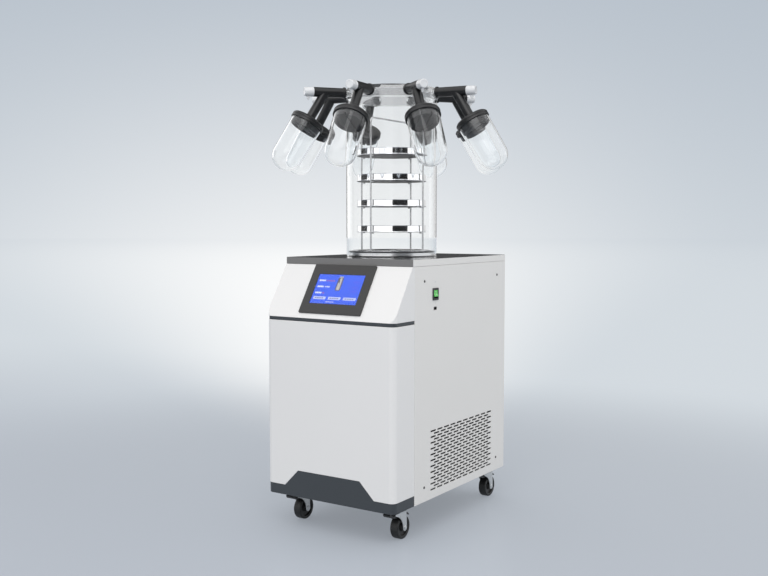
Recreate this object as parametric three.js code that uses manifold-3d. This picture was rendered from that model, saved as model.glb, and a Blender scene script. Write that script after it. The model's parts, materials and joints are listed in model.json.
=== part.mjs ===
// A floor-standing laboratory freeze dryer: a steel cabinet on four braked castors, with a clear
// drying chamber on its deck, a rack of four trays inside it, and eight valves that each hold a flask.
// Millimetres, +Z up. The origin is on the floor, on the axis of the chamber. The front faces -Y.
import * as THREE from 'three';
import { mergeVertices } from 'three/addons/utils/BufferGeometryUtils.js';
import Module from 'manifold-3d';

const wasm = await Module();
wasm.setup();

// ---------------------------------------------------------------- driving dimensions
const GAP = 0.3; // clearance between pieces that touch
const SHEET = 1.5; // steel sheet
const MOULD = 2.5; // wall of the moulded front pieces

// cabinet
const WIDTH = 420;
const BACK_Y = 310;
const FRONT_Y = -310;
const FASCIA_DEPTH = 90; // from the front to the deck's lip
const LIP_OVERHANG = 10; // of the deck's lip past the joint behind the moulded front
const DECK_Z = 745;
const LIP_HEIGHT = 19;
const PAN_WALL = 46; // height of the base pan's upturned edge
const RETURN = 12; // folded edge of a side panel
const FRONT_CORNER = 18; // radius of the front's upright corners

// front, from the top down
const FASCIA_DROP = 140.5; // height of the sloping fascia
const BAND_HEIGHT = 9;
const BAND_INSET = 1.5;
const KICK_INSET = 1;
const KICK_HEIGHT = 28; // at the sides
const KICK_ARCH = 45; // how much higher the middle stands
const KICK_ARCH_TOP = 204; // width of the arch's flat top
const SCREEN_WIDTH = 203;
const SCREEN_LENGTH = 150;
const SCREEN_PROUD = 5;
const SCREEN_DROP = 2; // from the top of the slope to the bezel
const GLASS_WIDTH = 152;
const GLASS_LENGTH = 90;
const GLASS_THICKNESS = 2;
const GLASS_SUNK = 1; // below the bezel's face
const BEZEL_REBATE = 6; // wall of the bezel's tray round the glass

// power switch and data socket on the right side
const SWITCH_SETBACK = 104; // behind the joint
const SWITCH_DROP = 95.5; // below the deck
const SWITCH_WIDTH = 30;
const SWITCH_HEIGHT = 33;
const SWITCH_FLANGE = 2;
const SWITCH_DEPTH = 20;
const ROCKER_TILT = 11; // degrees each side of the middle
const SOCKET_DROP = 38.5; // below the switch
const SOCKET_WIDTH = 16;
const SOCKET_HEIGHT = 9;

// vents
const VENT_SETBACK = 262; // from the back to the middle of the slots
const VENT_LIFT = 105.5; // above the underside of the body
const VENT_COLUMNS = 10;
const VENT_ROWS = 21;
const VENT_PITCH_Y = 36;
const VENT_PITCH_Z = 8;
const SLOT_LENGTH = 29;
const SLOT_HEIGHT = 4.2;
const REAR_SLOTS = 6; // in each of two columns
const REAR_SLOT_LENGTH = 120;
const REAR_SLOT_PITCH = 14;
const REAR_SLOT_HEIGHT = 5;
const REAR_SLOT_SPACE = 30; // between the columns
const REAR_SLOT_LIFT = 195.5; // of the lowest row above the underside of the body

// cold trap and chamber
const TRAP_WALL = 2;
const TRAP_DEPTH = 245;
const TRAP_FLANGE_WIDTH = 14;
const COIL_TUBE = 5;
const COIL_TURNS = 4;
const COIL_PITCH = 28;
const COIL_STEPS = 12; // in each turn
const COIL_STAND_OFF = 2; // from the well's wall
const LINE_RADIUS = 14; // vacuum line
const LINE_WALL = 2;
const LINE_DROP = 105; // below the deck
const LINE_FLANGE = 20;
const LINE_REACH = 26; // beyond the back
const CHAMBER_RADIUS = 130;
const CHAMBER_WALL = 5;
const CHAMBER_HEIGHT = 475;
const COLLAR_HEIGHT = 31;
const COLLAR_WALL = 20;
const LID_THICKNESS = 6;
const RING_HEIGHT = 15;
const RING_WALL = 14;
const RING_LAND = 8.1; // width of the ring's foot on the deck

// tray rack
const ROD_RADIUS = 2.5;
const ROD_CLEARANCE = 2.5; // from the rods to the trays' rims
const HANDLE_CLEARANCE = 78; // from the handle to the lid
const HANDLE_BEND = 12;
const LUG_REACH = 10; // inwards from the rod's axis
const LUG_WIDTH = 8;
const LUG_THICKNESS = 3;
const RACK_RING_WIDTH = 10;
const TRAY_CLEARANCE = 25; // from the trays' rims to the chamber's wall
const TRAY_HEIGHT = 20;
const TRAY_SHEET = 1.5;
const TRAY_COUNT = 4;
const TRAY_HEEL = 3;
const LOW_TRAY_LIFT = 69; // underside of the lowest tray above the deck
const TOP_TRAY_DROP = 105.1; // underside of the highest tray below the handle

// flask valves
const PORT_COUNT = 8;
const PORT_TURN = 7.5; // degrees from +X to the first port
const PORT_DROP = 15.2; // below the top of the chamber
const NIPPLE_RADIUS = 8;
const NIPPLE_BORE = 5;
const NIPPLE_REACH = 30; // beyond the collar
const NIPPLE_SHOULDER = 14; // radius of its conical shoulder on the collar
const NIPPLE_SHOULDER_TIP = 12;
const BARREL_STAND_OFF = 11.6; // from the collar to the middle of the barrel's flange
const BARREL_LENGTH = 89;
const BARREL_RADIUS = 13.5;
const FLANGE_RADIUS = 17;
const FLANGE_THICKNESS = 6;
const LEG_SETBACK = 34.7; // of the leg's axis from the barrel's outer end
const LEG_TILT = 31.7; // degrees out from straight down
const LEG_RADIUS = 13;
const CAP_AT = 88; // top of the cap, along the leg
const CAP_MARGIN = 3; // outside the flask
const CAP_THICKNESS = 18;
const PLUG_DEPTH = 16; // into the flask
const PLUG_DRAFT = 1.5;
const KNOB_RADIUS = 13.5;
const KNOB_TIP_RADIUS = 12;
const KNOB_EDGE = 2; // rounding of its outer rim
const KNOB_LENGTH = 26;
const POINTER_REACH = 23; // from the knob's axis
const POINTER_THICKNESS = 5;
const SPIGOT_RADIUS = 6;
const SPIGOT_LENGTH = 18;
const FLASK_RADIUS = 45;
const FLASK_TAPER = 2;
const FLASK_WALL = 2.5;
const FLASK_LENGTH = 146;

// castors
const CASTOR_SIDE_INSET = 47;
const CASTOR_FRONT_INSET = 80;
const CASTOR_BACK_INSET = 43;
const TRAIL = 22;
const WHEEL_RADIUS = 31.5;
const WHEEL_WIDTH = 24;
const WHEEL_SIDE_GAP = 2.5; // between the wheel and each leg of the fork
const AXLE_RADIUS = 4;
const FORK_PLATE = 2.5;
const FORK_BRIDGE = 3;
const CROWN_CLEARANCE = 13; // from the tread to the fork's bridge
const RACE_RADIUS = 21;
const RACE_HEIGHT = 8;
const UPPER_RACE_HEIGHT = 6.2;
const KINGPIN_RADIUS = 5;
const CASTOR_PLATE = 60;
const CASTOR_PLATE_THICKNESS = 3;
const PEDAL_PIVOT_LIFT = 3; // above the top of the tread
const PEDAL_PIN_RADIUS = 2.5;
const PEDAL_CLEARANCE = 6.5; // between a released brake and the tread
const PEDAL_THICKNESS = 3.5;
const PEDAL_WIDTH = 22;

// mains inlet, on the back
const INLET_SIDE_INSET = 60;
const INLET_LIFT = 66.5; // above the underside of the body
const INLET_WIDTH = 48;
const INLET_HEIGHT = 27;
const INLET_DEPTH = 20;

// condensing unit and fan
const CONDENSER_SIDE_GAP = 20; // to the outside of the side panel
const CONDENSER_DEPTH = 40;
const CONDENSER_LENGTH = 320;
const FAN_RADIUS = 72;
const FAN_CLEARANCE = 4;
const FAN_DEPTH = 20;
const FAN_BLADES = 5;
const FAN_HUB = 22;
const FAN_SHAFT = 4;
const SHROUD_RIM = 9; // round the fan's opening
const MOTOR_LENGTH = 32;
const COMPRESSOR_RADIUS = 75;
const COMPRESSOR_INSET = 150; // of its axis from the left side
const COMPRESSOR_HEIGHT = 190;

// facets round a full circle
const FACETS = { large: 24, medium: 16, flask: 12, small: 10, pin: 8 };

// worked-out sizes
const HALF = WIDTH / 2;
const LIP_FRONT_Y = FRONT_Y + FASCIA_DEPTH;
const SEAM_Y = LIP_FRONT_Y + LIP_OVERHANG; // joint between the steel body and the moulded front
const LIP_Z = DECK_Z - LIP_HEIGHT;
const FASCIA_Z = LIP_Z - FASCIA_DROP;
const FORK_CROWN_Z = 2 * WHEEL_RADIUS + CROWN_CLEARANCE + FORK_BRIDGE;
const RACE_TOP_Z = FORK_CROWN_Z + RACE_HEIGHT;
const BODY_Z = RACE_TOP_Z + GAP + UPPER_RACE_HEIGHT; // underside of the body
const VENT_Y = BACK_Y - VENT_SETBACK;
const VENT_Z = BODY_Z + VENT_LIFT;
const CHAMBER_TOP = DECK_Z + CHAMBER_HEIGHT;
const CHAMBER_FOOT = DECK_Z + GAP;
const CHAMBER_INNER = CHAMBER_RADIUS - CHAMBER_WALL;
const PORT_Z = CHAMBER_TOP - PORT_DROP;
const SLOPE = new THREE.Vector2(-FASCIA_DEPTH, -FASCIA_DROP).normalize(); // down it, in y and z
const deg = THREE.MathUtils.degToRad;

// ---------------------------------------------------------------- materials
function paint(color, roughness, metalness = 0) {
  return new THREE.MeshStandardMaterial({ color, roughness, metalness });
}
const MATERIAL = {
  white: paint(0xd9dada, 0.45),
  deck: paint(0x3c4043, 0.25),
  slate: paint(0x40464c, 0.55),
  charcoal: paint(0x4e4e4e, 0.5),
  screen: paint(0x5078ff, 0.1),
  black: paint(0x1b1c1d, 0.5),
  green: paint(0x2fae5a, 0.35),
  steel: paint(0xc9ccce, 0.2, 1),
  zinc: paint(0xa9abab, 0.4, 0.9),
  rubber: paint(0x242627, 0.7),
  knob: paint(0xe6e8e8, 0.4),
  tyre: paint(0x262626, 0.75),
  glass: Object.assign(paint(0xe8eef0, 0.05), { transparent: true, opacity: 0.3 }),
  machine: paint(0x2b2d30, 0.5, 0.3),
};

// ---------------------------------------------------------------- solids
// A closed three.js geometry as a solid that can be joined and cut.
function solid(geometry) {
  geometry.deleteAttribute('normal');
  geometry.deleteAttribute('uv');
  const merged = mergeVertices(geometry, 1e-4);
  const corners = merged.index.array;
  const used = [];
  for (let i = 0; i < corners.length; i += 3) {
    const [a, b, c] = corners.subarray(i, i + 3);
    if (a !== b && b !== c && c !== a) used.push(a, b, c);
  }
  const vertProperties = new Float32Array(merged.attributes.position.array);
  const triVerts = new Uint32Array(used);
  return new wasm.Manifold(new wasm.Mesh({ numProp: 3, vertProperties, triVerts }));
}

function geometryOf(body) {
  const mesh = body.getMesh();
  const geometry = new THREE.BufferGeometry();
  geometry.setAttribute('position', new THREE.BufferAttribute(mesh.vertProperties, 3));
  geometry.setIndex(new THREE.BufferAttribute(mesh.triVerts, 1));
  geometry.computeVertexNormals();
  return geometry;
}

const join = (...bodies) => bodies.reduce((all, body) => all.add(body));
const cut = (body, ...tools) => tools.reduce((left, tool) => left.subtract(tool), body);
const placed = (body, matrix) => body.transform(matrix.elements);
const moved = (body, x, y, z) => body.translate([x, y, z]);

function box(low, high) {
  const size = high.map((value, i) => value - low[i]);
  const middle = high.map((value, i) => (value + low[i]) / 2);
  return solid(new THREE.BoxGeometry(...size).translate(...middle));
}

const outline = (points) => new THREE.Shape(points.map(([a, b]) => new THREE.Vector2(a, b)));

// An outline pushed along one axis. Its own two axes are the next two in the order X, Y, Z, X, Y.
function extrude(shape, axis, from, to, curveSegments = 6) {
  const geometry = new THREE.ExtrudeGeometry(shape, { depth: to - from, bevelEnabled: false, curveSegments });
  geometry.translate(0, 0, from);
  const units = [new THREE.Vector3(1, 0, 0), new THREE.Vector3(0, 1, 0), new THREE.Vector3(0, 0, 1)];
  const first = 'xyz'.indexOf(axis) + 1;
  const basis = [0, 1, 2].map((i) => units[(first + i) % 3]);
  return solid(geometry.applyMatrix4(new THREE.Matrix4().makeBasis(...basis)));
}

// A profile of [radius, height] points, anticlockwise, turned about Z.
function turn(profile, segments) {
  const closed = profile[0][0] > 1e-6 || profile.at(-1)[0] > 1e-6;
  const points = profile.map(([r, z]) => new THREE.Vector2(r, z));
  if (closed) points.push(points[0].clone());
  return solid(new THREE.LatheGeometry(points, segments).rotateX(Math.PI / 2));
}

function cylinder(radius, from, to, segments) {
  return turn([[0, from], [radius, from], [radius, to], [0, to]], segments);
}

// Points of an arc, from one angle to another in degrees, both ends included.
function arc(centreA, centreB, radius, from, to, steps) {
  return Array.from({ length: steps + 1 }, (_, i) => {
    const angle = deg(from + ((to - from) * i) / steps);
    return [centreA + radius * Math.cos(angle), centreB + radius * Math.sin(angle)];
  });
}

// A path with one step to each of its points.
class Bends extends THREE.Curve {
  constructor(points) {
    super();
    this.points = points;
  }

  getPoint(t) {
    const last = this.points.length - 1;
    const i = Math.min(Math.floor(t * last + 1e-9), last - 1);
    return this.points[i].clone().lerp(this.points[i + 1], t * last - i);
  }

  getPointAt(t) {
    return this.getPoint(t);
  }

  getTangentAt(t) {
    const last = this.points.length - 1;
    const i = Math.round(t * last);
    const next = this.points[Math.min(i + 1, last)];
    return next.clone().sub(this.points[Math.max(i - 1, 0)]).normalize();
  }
}

const alongX = new THREE.Matrix4().makeRotationY(Math.PI / 2); // Z to X
const alongY = new THREE.Matrix4().makeRotationX(-Math.PI / 2); // Z to Y

const dryer = new THREE.Group();

function add(name, body, material, parent = dryer) {
  const mesh = new THREE.Mesh(geometryOf(body), material);
  mesh.name = name;
  parent.add(mesh);
  return mesh;
}

// ---------------------------------------------------------------- base
const castorX = HALF - CASTOR_SIDE_INSET;
const castorFrontY = FRONT_Y + CASTOR_FRONT_INSET;
const castorBackY = BACK_Y - CASTOR_BACK_INSET;
const CASTORS = [
  ['front_left', -castorX, castorFrontY],
  ['front_right', castorX, castorFrontY],
  ['back_left', -castorX, castorBackY],
  ['back_right', castorX, castorBackY],
];

// Plan of the moulded front, open towards the body, with rounded upright corners.
function frontPlan(inset, back, steps = 5) {
  const x = HALF - inset;
  const y = FRONT_Y + inset;
  const r = FRONT_CORNER - inset;
  return outline([
    [x, back],
    [-x, back],
    ...arc(-x + r, y + r, r, 180, 270, steps),
    ...arc(x - r, y + r, r, 270, 360, steps),
  ].reverse());
}

// Bolted castor plate with its upper race and the bore that the fork's kingpin turns in.
function castorPlate() {
  const reach = CASTOR_PLATE / 2;
  const plate = box([-reach, -reach, BODY_Z - CASTOR_PLATE_THICKNESS], [reach, reach, BODY_Z]);
  const race = cylinder(RACE_RADIUS - 2, RACE_TOP_Z + GAP, BODY_Z - 1, FACETS.small);
  const bore = cylinder((KINGPIN_RADIUS + GAP) / Math.cos(Math.PI / FACETS.pin), 0, BODY_Z, FACETS.pin);
  return cut(join(plate, race), bore);
}

// Folded pan: it fills the foot of the steel body and runs on into the moulded front.
function baseFrame() {
  const side = HALF - SHEET - GAP;
  const back = BACK_Y - 2 * (SHEET + GAP);
  const block = (inset, low, high) => join(
    extrude(frontPlan(KICK_INSET + MOULD + GAP + inset, SEAM_Y + 9, 3), 'z', low, high),
    box([-side + inset, SEAM_Y + GAP + inset, low], [side - inset, back - inset, high]),
  );
  const top = BODY_Z + PAN_WALL;
  const pan = cut(block(0, BODY_Z, top), block(SHEET, BODY_Z + SHEET, top + 9));
  return join(pan, ...CASTORS.map(([, x, y]) => moved(castorPlate(), x, y, 0)));
}
add('base_frame', baseFrame(), MATERIAL.zinc);

// ---------------------------------------------------------------- steel body
// A cutter for a rectangular hole through the side sheet.
const hole = (y, z, width, height) => box(
  [HALF - 2 * SHEET, y - width / 2, z - height / 2],
  [HALF + SHEET, y + width / 2, z + height / 2],
);

// Rows of slots, every other row moved along by half a pitch and one slot shorter.
function ventSlots() {
  const slots = [];
  for (let row = 0; row < VENT_ROWS; row += 1) {
    const count = VENT_COLUMNS - (row % 2);
    const z = VENT_Z + (row - (VENT_ROWS - 1) / 2) * VENT_PITCH_Z;
    for (let column = 0; column < count; column += 1) {
      slots.push(hole(VENT_Y + (column - (count - 1) / 2) * VENT_PITCH_Y, z, SLOT_LENGTH, SLOT_HEIGHT));
    }
  }
  return slots;
}

// A pan of sheet steel with its front, back and top edges folded in, modelled for the +X side.
function sidePanel(holes) {
  const top = LIP_Z - GAP;
  const inside = HALF - SHEET;
  const fold = inside - RETURN;
  const backFold = BACK_Y - SHEET - GAP;
  const foldFoot = BODY_Z + PAN_WALL + GAP;
  return join(
    cut(box([inside, SEAM_Y + GAP, BODY_Z], [HALF, BACK_Y, top]), ...holes),
    box([fold, SEAM_Y + GAP, foldFoot], [inside + 0.5, SEAM_Y + GAP + SHEET, top]),
    box([fold, backFold - SHEET, foldFoot], [inside + 0.5, backFold, top]),
    box([fold, SEAM_Y + GAP, top - SHEET], [inside + 0.5, backFold, top]),
  );
}

const SWITCH_Y = SEAM_Y + SWITCH_SETBACK;
const SWITCH_Z = DECK_Z - SWITCH_DROP;
const SOCKET_Z = SWITCH_Z - SOCKET_DROP;
const switchHole = hole(SWITCH_Y, SWITCH_Z, SWITCH_WIDTH - 4, SWITCH_HEIGHT - 4);
const socketHole = hole(SWITCH_Y, SOCKET_Z, SOCKET_WIDTH, SOCKET_HEIGHT);
add('side_panel_right', sidePanel([...ventSlots(), switchHole, socketHole]), MATERIAL.white);
add('side_panel_left', sidePanel([]).mirror([1, 0, 0]), MATERIAL.white);

const LINE_Z = DECK_Z - LINE_DROP;
const INLET_X = INLET_SIDE_INSET - HALF;
const INLET_Z = BODY_Z + INLET_LIFT;

function rearPanel() {
  const side = HALF - SHEET - GAP;
  const sheet = box([-side, BACK_Y - SHEET, BODY_Z], [side, BACK_Y, LIP_Z - GAP]);
  const lineHole = placed(cylinder(LINE_RADIUS + 1, BACK_Y - 9, BACK_Y + 9, FACETS.medium), alongY);
  const tools = [
    lineHole.translate([0, 0, LINE_Z]),
    box([INLET_X - INLET_WIDTH / 2 + 3, BACK_Y - 9, INLET_Z - INLET_HEIGHT / 2 + 3],
      [INLET_X + INLET_WIDTH / 2 - 3, BACK_Y + 9, INLET_Z + INLET_HEIGHT / 2 - 3]),
  ];
  for (const column of [-1, 1]) {
    for (let row = 0; row < REAR_SLOTS; row += 1) {
      const z = BODY_Z + REAR_SLOT_LIFT + row * REAR_SLOT_PITCH;
      const x = column * (REAR_SLOT_LENGTH + REAR_SLOT_SPACE) / 2;
      const reach = REAR_SLOT_LENGTH / 2;
      tools.push(box([x - reach, BACK_Y - 9, z], [x + reach, BACK_Y + 9, z + REAR_SLOT_HEIGHT]));
    }
  }
  return cut(sheet, ...tools);
}
add('rear_panel', rearPanel(), MATERIAL.white);

const TRAP_FLANGE = CHAMBER_INNER - 2 * GAP - RING_LAND;
const TRAP_RADIUS = TRAP_FLANGE - TRAP_FLANGE_WIDTH;

// The lid of the cabinet: a pan turned upside down, with the mouth of the cold trap in its deck.
function topDeck() {
  const shell = box([-HALF, LIP_FRONT_Y, LIP_Z], [HALF, BACK_Y, DECK_Z]);
  const inside = box(
    [-HALF + SHEET, LIP_FRONT_Y + SHEET, LIP_Z - 1],
    [HALF - SHEET, BACK_Y - SHEET, DECK_Z - SHEET],
  );
  return cut(shell, inside, cylinder(TRAP_RADIUS + TRAP_WALL + 2, LIP_Z, DECK_Z + 9, FACETS.large));
}
add('top_deck', topDeck(), MATERIAL.deck);

// ---------------------------------------------------------------- moulded front
// A wall that follows the front's plan between two heights.
function frontWall(inset, thickness, low, high) {
  const back = SEAM_Y - GAP;
  const block = extrude(frontPlan(inset, back), 'z', low, high);
  return cut(block, extrude(frontPlan(inset + thickness, back + 9), 'z', low - 9, high + 9));
}

// Everything that is in front of and above the slope, set back by a distance.
function aheadOfSlope(inset) {
  const far = 400;
  const inwards = new THREE.Vector2(-SLOPE.y, SLOPE.x);
  const top = new THREE.Vector2(LIP_FRONT_Y, LIP_Z).addScaledVector(inwards, inset);
  const low = top.clone().addScaledVector(SLOPE, far);
  const high = top.clone().addScaledVector(SLOPE, -far);
  return extrude(outline([[high.x, high.y], [low.x - far, low.y], [low.x, low.y]].reverse()), 'x', -far, far);
}

// Places a body drawn on the slope: X across, Y up the slope, Z out of it, origin at the slope's top.
const onSlope = new THREE.Matrix4()
  .makeBasis(
    new THREE.Vector3(1, 0, 0),
    new THREE.Vector3(0, -SLOPE.x, -SLOPE.y),
    new THREE.Vector3(0, SLOPE.y, -SLOPE.x),
  )
  .setPosition(0, LIP_FRONT_Y, LIP_Z);

const screenMiddle = -SCREEN_DROP - SCREEN_LENGTH / 2;
const slab = (width, length, low, high) => box(
  [-width / 2, screenMiddle - length / 2, low],
  [width / 2, screenMiddle + length / 2, high],
);

function controlFascia() {
  const top = LIP_Z - GAP;
  const block = cut(extrude(frontPlan(0, SEAM_Y - GAP), 'z', FASCIA_Z, top), aheadOfSlope(0));
  const inside = extrude(frontPlan(MOULD, SEAM_Y + 9), 'z', FASCIA_Z - 9, top + 9);
  const hollow = cut(inside, aheadOfSlope(MOULD));
  const opening = slab(GLASS_WIDTH + 2 * BEZEL_REBATE, GLASS_LENGTH + 2 * BEZEL_REBATE, -20, 20);
  return cut(block, hollow, placed(opening, onSlope));
}
add('control_fascia', controlFascia(), MATERIAL.white);

const glassTop = SCREEN_PROUD - GLASS_SUNK;

function screenBezel() {
  const frame = slab(SCREEN_WIDTH, SCREEN_LENGTH, GAP, SCREEN_PROUD);
  const rebate = 2 * (BEZEL_REBATE - GAP);
  const tray = slab(GLASS_WIDTH + rebate, GLASS_LENGTH + rebate, -6, GAP + 0.5);
  const seat = slab(GLASS_WIDTH + 2 * GAP, GLASS_LENGTH + 2 * GAP, glassTop - GLASS_THICKNESS - GAP, 20);
  const back = slab(GLASS_WIDTH - 8, GLASS_LENGTH - 8, -20, 20);
  return placed(cut(join(frame, tray), seat, back), onSlope);
}
add('screen_bezel', screenBezel(), MATERIAL.charcoal);
const glass = slab(GLASS_WIDTH, GLASS_LENGTH, glassTop - GLASS_THICKNESS, glassTop);
add('screen_glass', placed(glass, onSlope), MATERIAL.screen);

const BAND_TOP = FASCIA_Z - GAP;
const COVER_TOP = BAND_TOP - BAND_HEIGHT;
const KICK_TOP = BODY_Z + KICK_HEIGHT;
add('trim_band', frontWall(BAND_INSET, MOULD, COVER_TOP, BAND_TOP), MATERIAL.slate);

// The raised middle of the kick plate, through the front wall only, grown by a margin.
function kickArch(margin) {
  const top = KICK_ARCH_TOP / 2 + margin * 0.4;
  const foot = top + KICK_ARCH;
  const low = KICK_TOP - 2;
  const high = KICK_TOP + KICK_ARCH + margin;
  const shape = outline([[-foot - 2, low], [foot + 2, low], [top, high], [-top, high]]);
  const upright = new THREE.Matrix4().makeBasis(
    new THREE.Vector3(1, 0, 0), new THREE.Vector3(0, 0, 1), new THREE.Vector3(0, -1, 0),
  );
  const geometry = new THREE.ExtrudeGeometry(shape, { depth: -FRONT_Y, bevelEnabled: false });
  return solid(geometry.applyMatrix4(upright));
}

function frontCover() {
  return cut(frontWall(0, MOULD, KICK_TOP, COVER_TOP - GAP), kickArch(GAP));
}
add('front_cover', frontCover(), MATERIAL.white);

function kickPlate() {
  const skirt = frontWall(KICK_INSET, MOULD, BODY_Z, KICK_TOP - GAP);
  const tall = frontWall(KICK_INSET, MOULD, BODY_Z + 1, KICK_TOP + KICK_ARCH);
  return join(skirt, tall.intersect(kickArch(0)));
}
add('kick_plate', kickPlate(), MATERIAL.slate);

// ---------------------------------------------------------------- power switch
function switchFrame() {
  const y = SWITCH_WIDTH / 2;
  const z = SWITCH_HEIGHT / 2;
  const flange = box([HALF + GAP, -y, -z], [HALF + GAP + SWITCH_FLANGE, y, z]);
  const barrel = box([HALF - SWITCH_DEPTH, -y + 2.5, -z + 2.5], [HALF + GAP + 0.5, y - 2.5, z - 2.5]);
  const bay = box([HALF - SWITCH_DEPTH + 2, -y + 5, -z + 5], [HALF + 9, y - 5, z - 5]);
  return join(flange, barrel).subtract(bay).translate([0, SWITCH_Y, SWITCH_Z]);
}
add('switch_frame', switchFrame(), MATERIAL.black);

const ROCKER_X = HALF - 8; // its pivot
// The rocker rests with its lower half pressed out: a shallow V turned by its own tilt.
function switchRocker() {
  const half = SWITCH_HEIGHT / 2 - 5 - 2.8;
  const rise = Math.tan(deg(ROCKER_TILT)) * half;
  const width = SWITCH_WIDTH / 2 - 5 - GAP;
  const profile = outline([ // z, x
    [-half, 10 + rise], [0, 10], [half, 10 + rise], [half, 4], [-half, 4],
  ]);
  const button = extrude(profile, 'y', -width, width);
  const body = join(button, placed(cylinder(4.5, -width, width, 16), alongY));
  return body.rotate([0, -ROCKER_TILT, 0]).translate([ROCKER_X, SWITCH_Y, SWITCH_Z]);
}
add('switch_rocker', switchRocker(), MATERIAL.green);

// ---------------------------------------------------------------- mains inlet
function mainsInlet() {
  const x = INLET_WIDTH / 2;
  const z = INLET_HEIGHT / 2;
  const flange = box([-x, BACK_Y + GAP, -z], [x, BACK_Y + GAP + 2.5, z]);
  const shell = box([-x + 4, BACK_Y - INLET_DEPTH, -z + 4], [x - 4, BACK_Y + GAP + 1, z - 4]);
  const bay = box([-12.2, BACK_Y - INLET_DEPTH + 2, -8.2], [12.2, BACK_Y + 9, 8.2]);
  const pins = [[-7, -1], [7, -1], [0, 3]].map(([px, pz]) => box(
    [px - 1, BACK_Y - INLET_DEPTH + 1, pz - 2],
    [px + 1, BACK_Y - 5, pz + 2],
  ));
  return join(cut(join(flange, shell), bay), ...pins).translate([INLET_X, 0, INLET_Z]);
}
add('mains_inlet', mainsInlet(), MATERIAL.black);

// ---------------------------------------------------------------- condensing unit and fan
const UNIT_Z = BODY_Z + SHEET + GAP; // on the floor of the base pan
const BED = 3; // thickness of the unit's bed plate
const CONDENSER_X = HALF - CONDENSER_SIDE_GAP - CONDENSER_DEPTH; // inner face of the finned block
const SHROUD_REACH = FAN_RADIUS + FAN_CLEARANCE + SHROUD_RIM; // half of its height and width
const FAN_Z = UNIT_Z + BED + SHROUD_REACH;
const FAN_FACE = CONDENSER_X - 6; // outer end of the fan's space

function condensingUnit() {
  const y0 = VENT_Y - CONDENSER_LENGTH / 2;
  const y1 = VENT_Y + CONDENSER_LENGTH / 2;
  const top = FAN_Z + SHROUD_REACH;
  const outer = CONDENSER_X + CONDENSER_DEPTH;
  const bed = box([-CONDENSER_X, y0, UNIT_Z], [outer, y1, UNIT_Z + BED]);
  const block = box([CONDENSER_X, y0, UNIT_Z + 2], [outer, y1, top]);
  const shroudX = FAN_FACE - FAN_DEPTH - 4;
  const shroud = cut(
    box([shroudX, VENT_Y - SHROUD_REACH, UNIT_Z + 2], [CONDENSER_X + 1, VENT_Y + SHROUD_REACH, top]),
    placed(cylinder(FAN_RADIUS + FAN_CLEARANCE, shroudX - 9, CONDENSER_X, FACETS.medium), alongX)
      .translate([0, VENT_Y, FAN_Z]),
  );
  const onFanAxis = (radius, from, to, segments) => placed(cylinder(radius, from, to, segments), alongX)
    .translate([0, VENT_Y, FAN_Z]);
  const motor = onFanAxis(FAN_HUB, shroudX - 2 - MOTOR_LENGTH, shroudX - 2, FACETS.small);
  const shaft = onFanAxis(FAN_SHAFT, shroudX - 3, FAN_FACE - 4, FACETS.pin);
  const bracket = box([shroudX - 8, VENT_Y - 84, FAN_Z - 7], [shroudX - 5, VENT_Y + 84, FAN_Z + 7]);
  const feet = [-1, 1].map((side) => box(
    [shroudX - 8, VENT_Y + side * 80 - 4, FAN_Z - 7],
    [shroudX + 1, VENT_Y + side * 80 + 4, FAN_Z + 7],
  ));
  const r = COMPRESSOR_RADIUS;
  const h = COMPRESSOR_HEIGHT;
  const pod = turn([
    [0, 0], [r - 8, 0], [r, 14], [r, h * 0.45], [r + 3, h * 0.45], [r + 3, h * 0.5], [r, h * 0.5],
    ...arc(0, 0, r, 0, 90, 3).map(([radius, z]) => [radius, h - 46 + z * 0.61]),
  ], FACETS.medium).translate([COMPRESSOR_INSET - HALF, VENT_Y, UNIT_Z + 2]);
  return join(bed, block, shroud, motor, shaft, bracket, ...feet, pod);
}
add('condensing_unit', condensingUnit(), MATERIAL.machine);

// Axial fan: pitched blades on a hub that runs on the motor's shaft.
function fanRotor() {
  const hub = cylinder(FAN_HUB, 0, FAN_DEPTH - 4, FACETS.small);
  const blades = Array.from({ length: FAN_BLADES }, (_, i) => {
    const shape = outline([[-1.2, FAN_HUB - 3], [1.2, FAN_HUB - 3], [1.2, FAN_RADIUS], [-1.2, FAN_RADIUS]]);
    const width = 34;
    const geometry = new THREE.ExtrudeGeometry(shape, { depth: width, bevelEnabled: false });
    geometry.translate(0, 0, -width / 2).rotateY(deg(62)).translate(0, 0, (FAN_DEPTH - 4) / 2);
    return solid(geometry).rotate([0, 0, (360 * i) / FAN_BLADES]);
  });
  const slice = cylinder(FAN_RADIUS, 0, FAN_DEPTH - 4, FACETS.medium);
  const bore = cylinder((FAN_SHAFT + GAP) / Math.cos(Math.PI / FACETS.pin), -1, FAN_DEPTH, FACETS.pin);
  const rotor = join(hub, ...blades).intersect(slice).subtract(bore);
  return placed(rotor, alongX).translate([FAN_FACE - FAN_DEPTH, VENT_Y, FAN_Z]);
}
add('fan_rotor', fanRotor(), MATERIAL.black);

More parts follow.
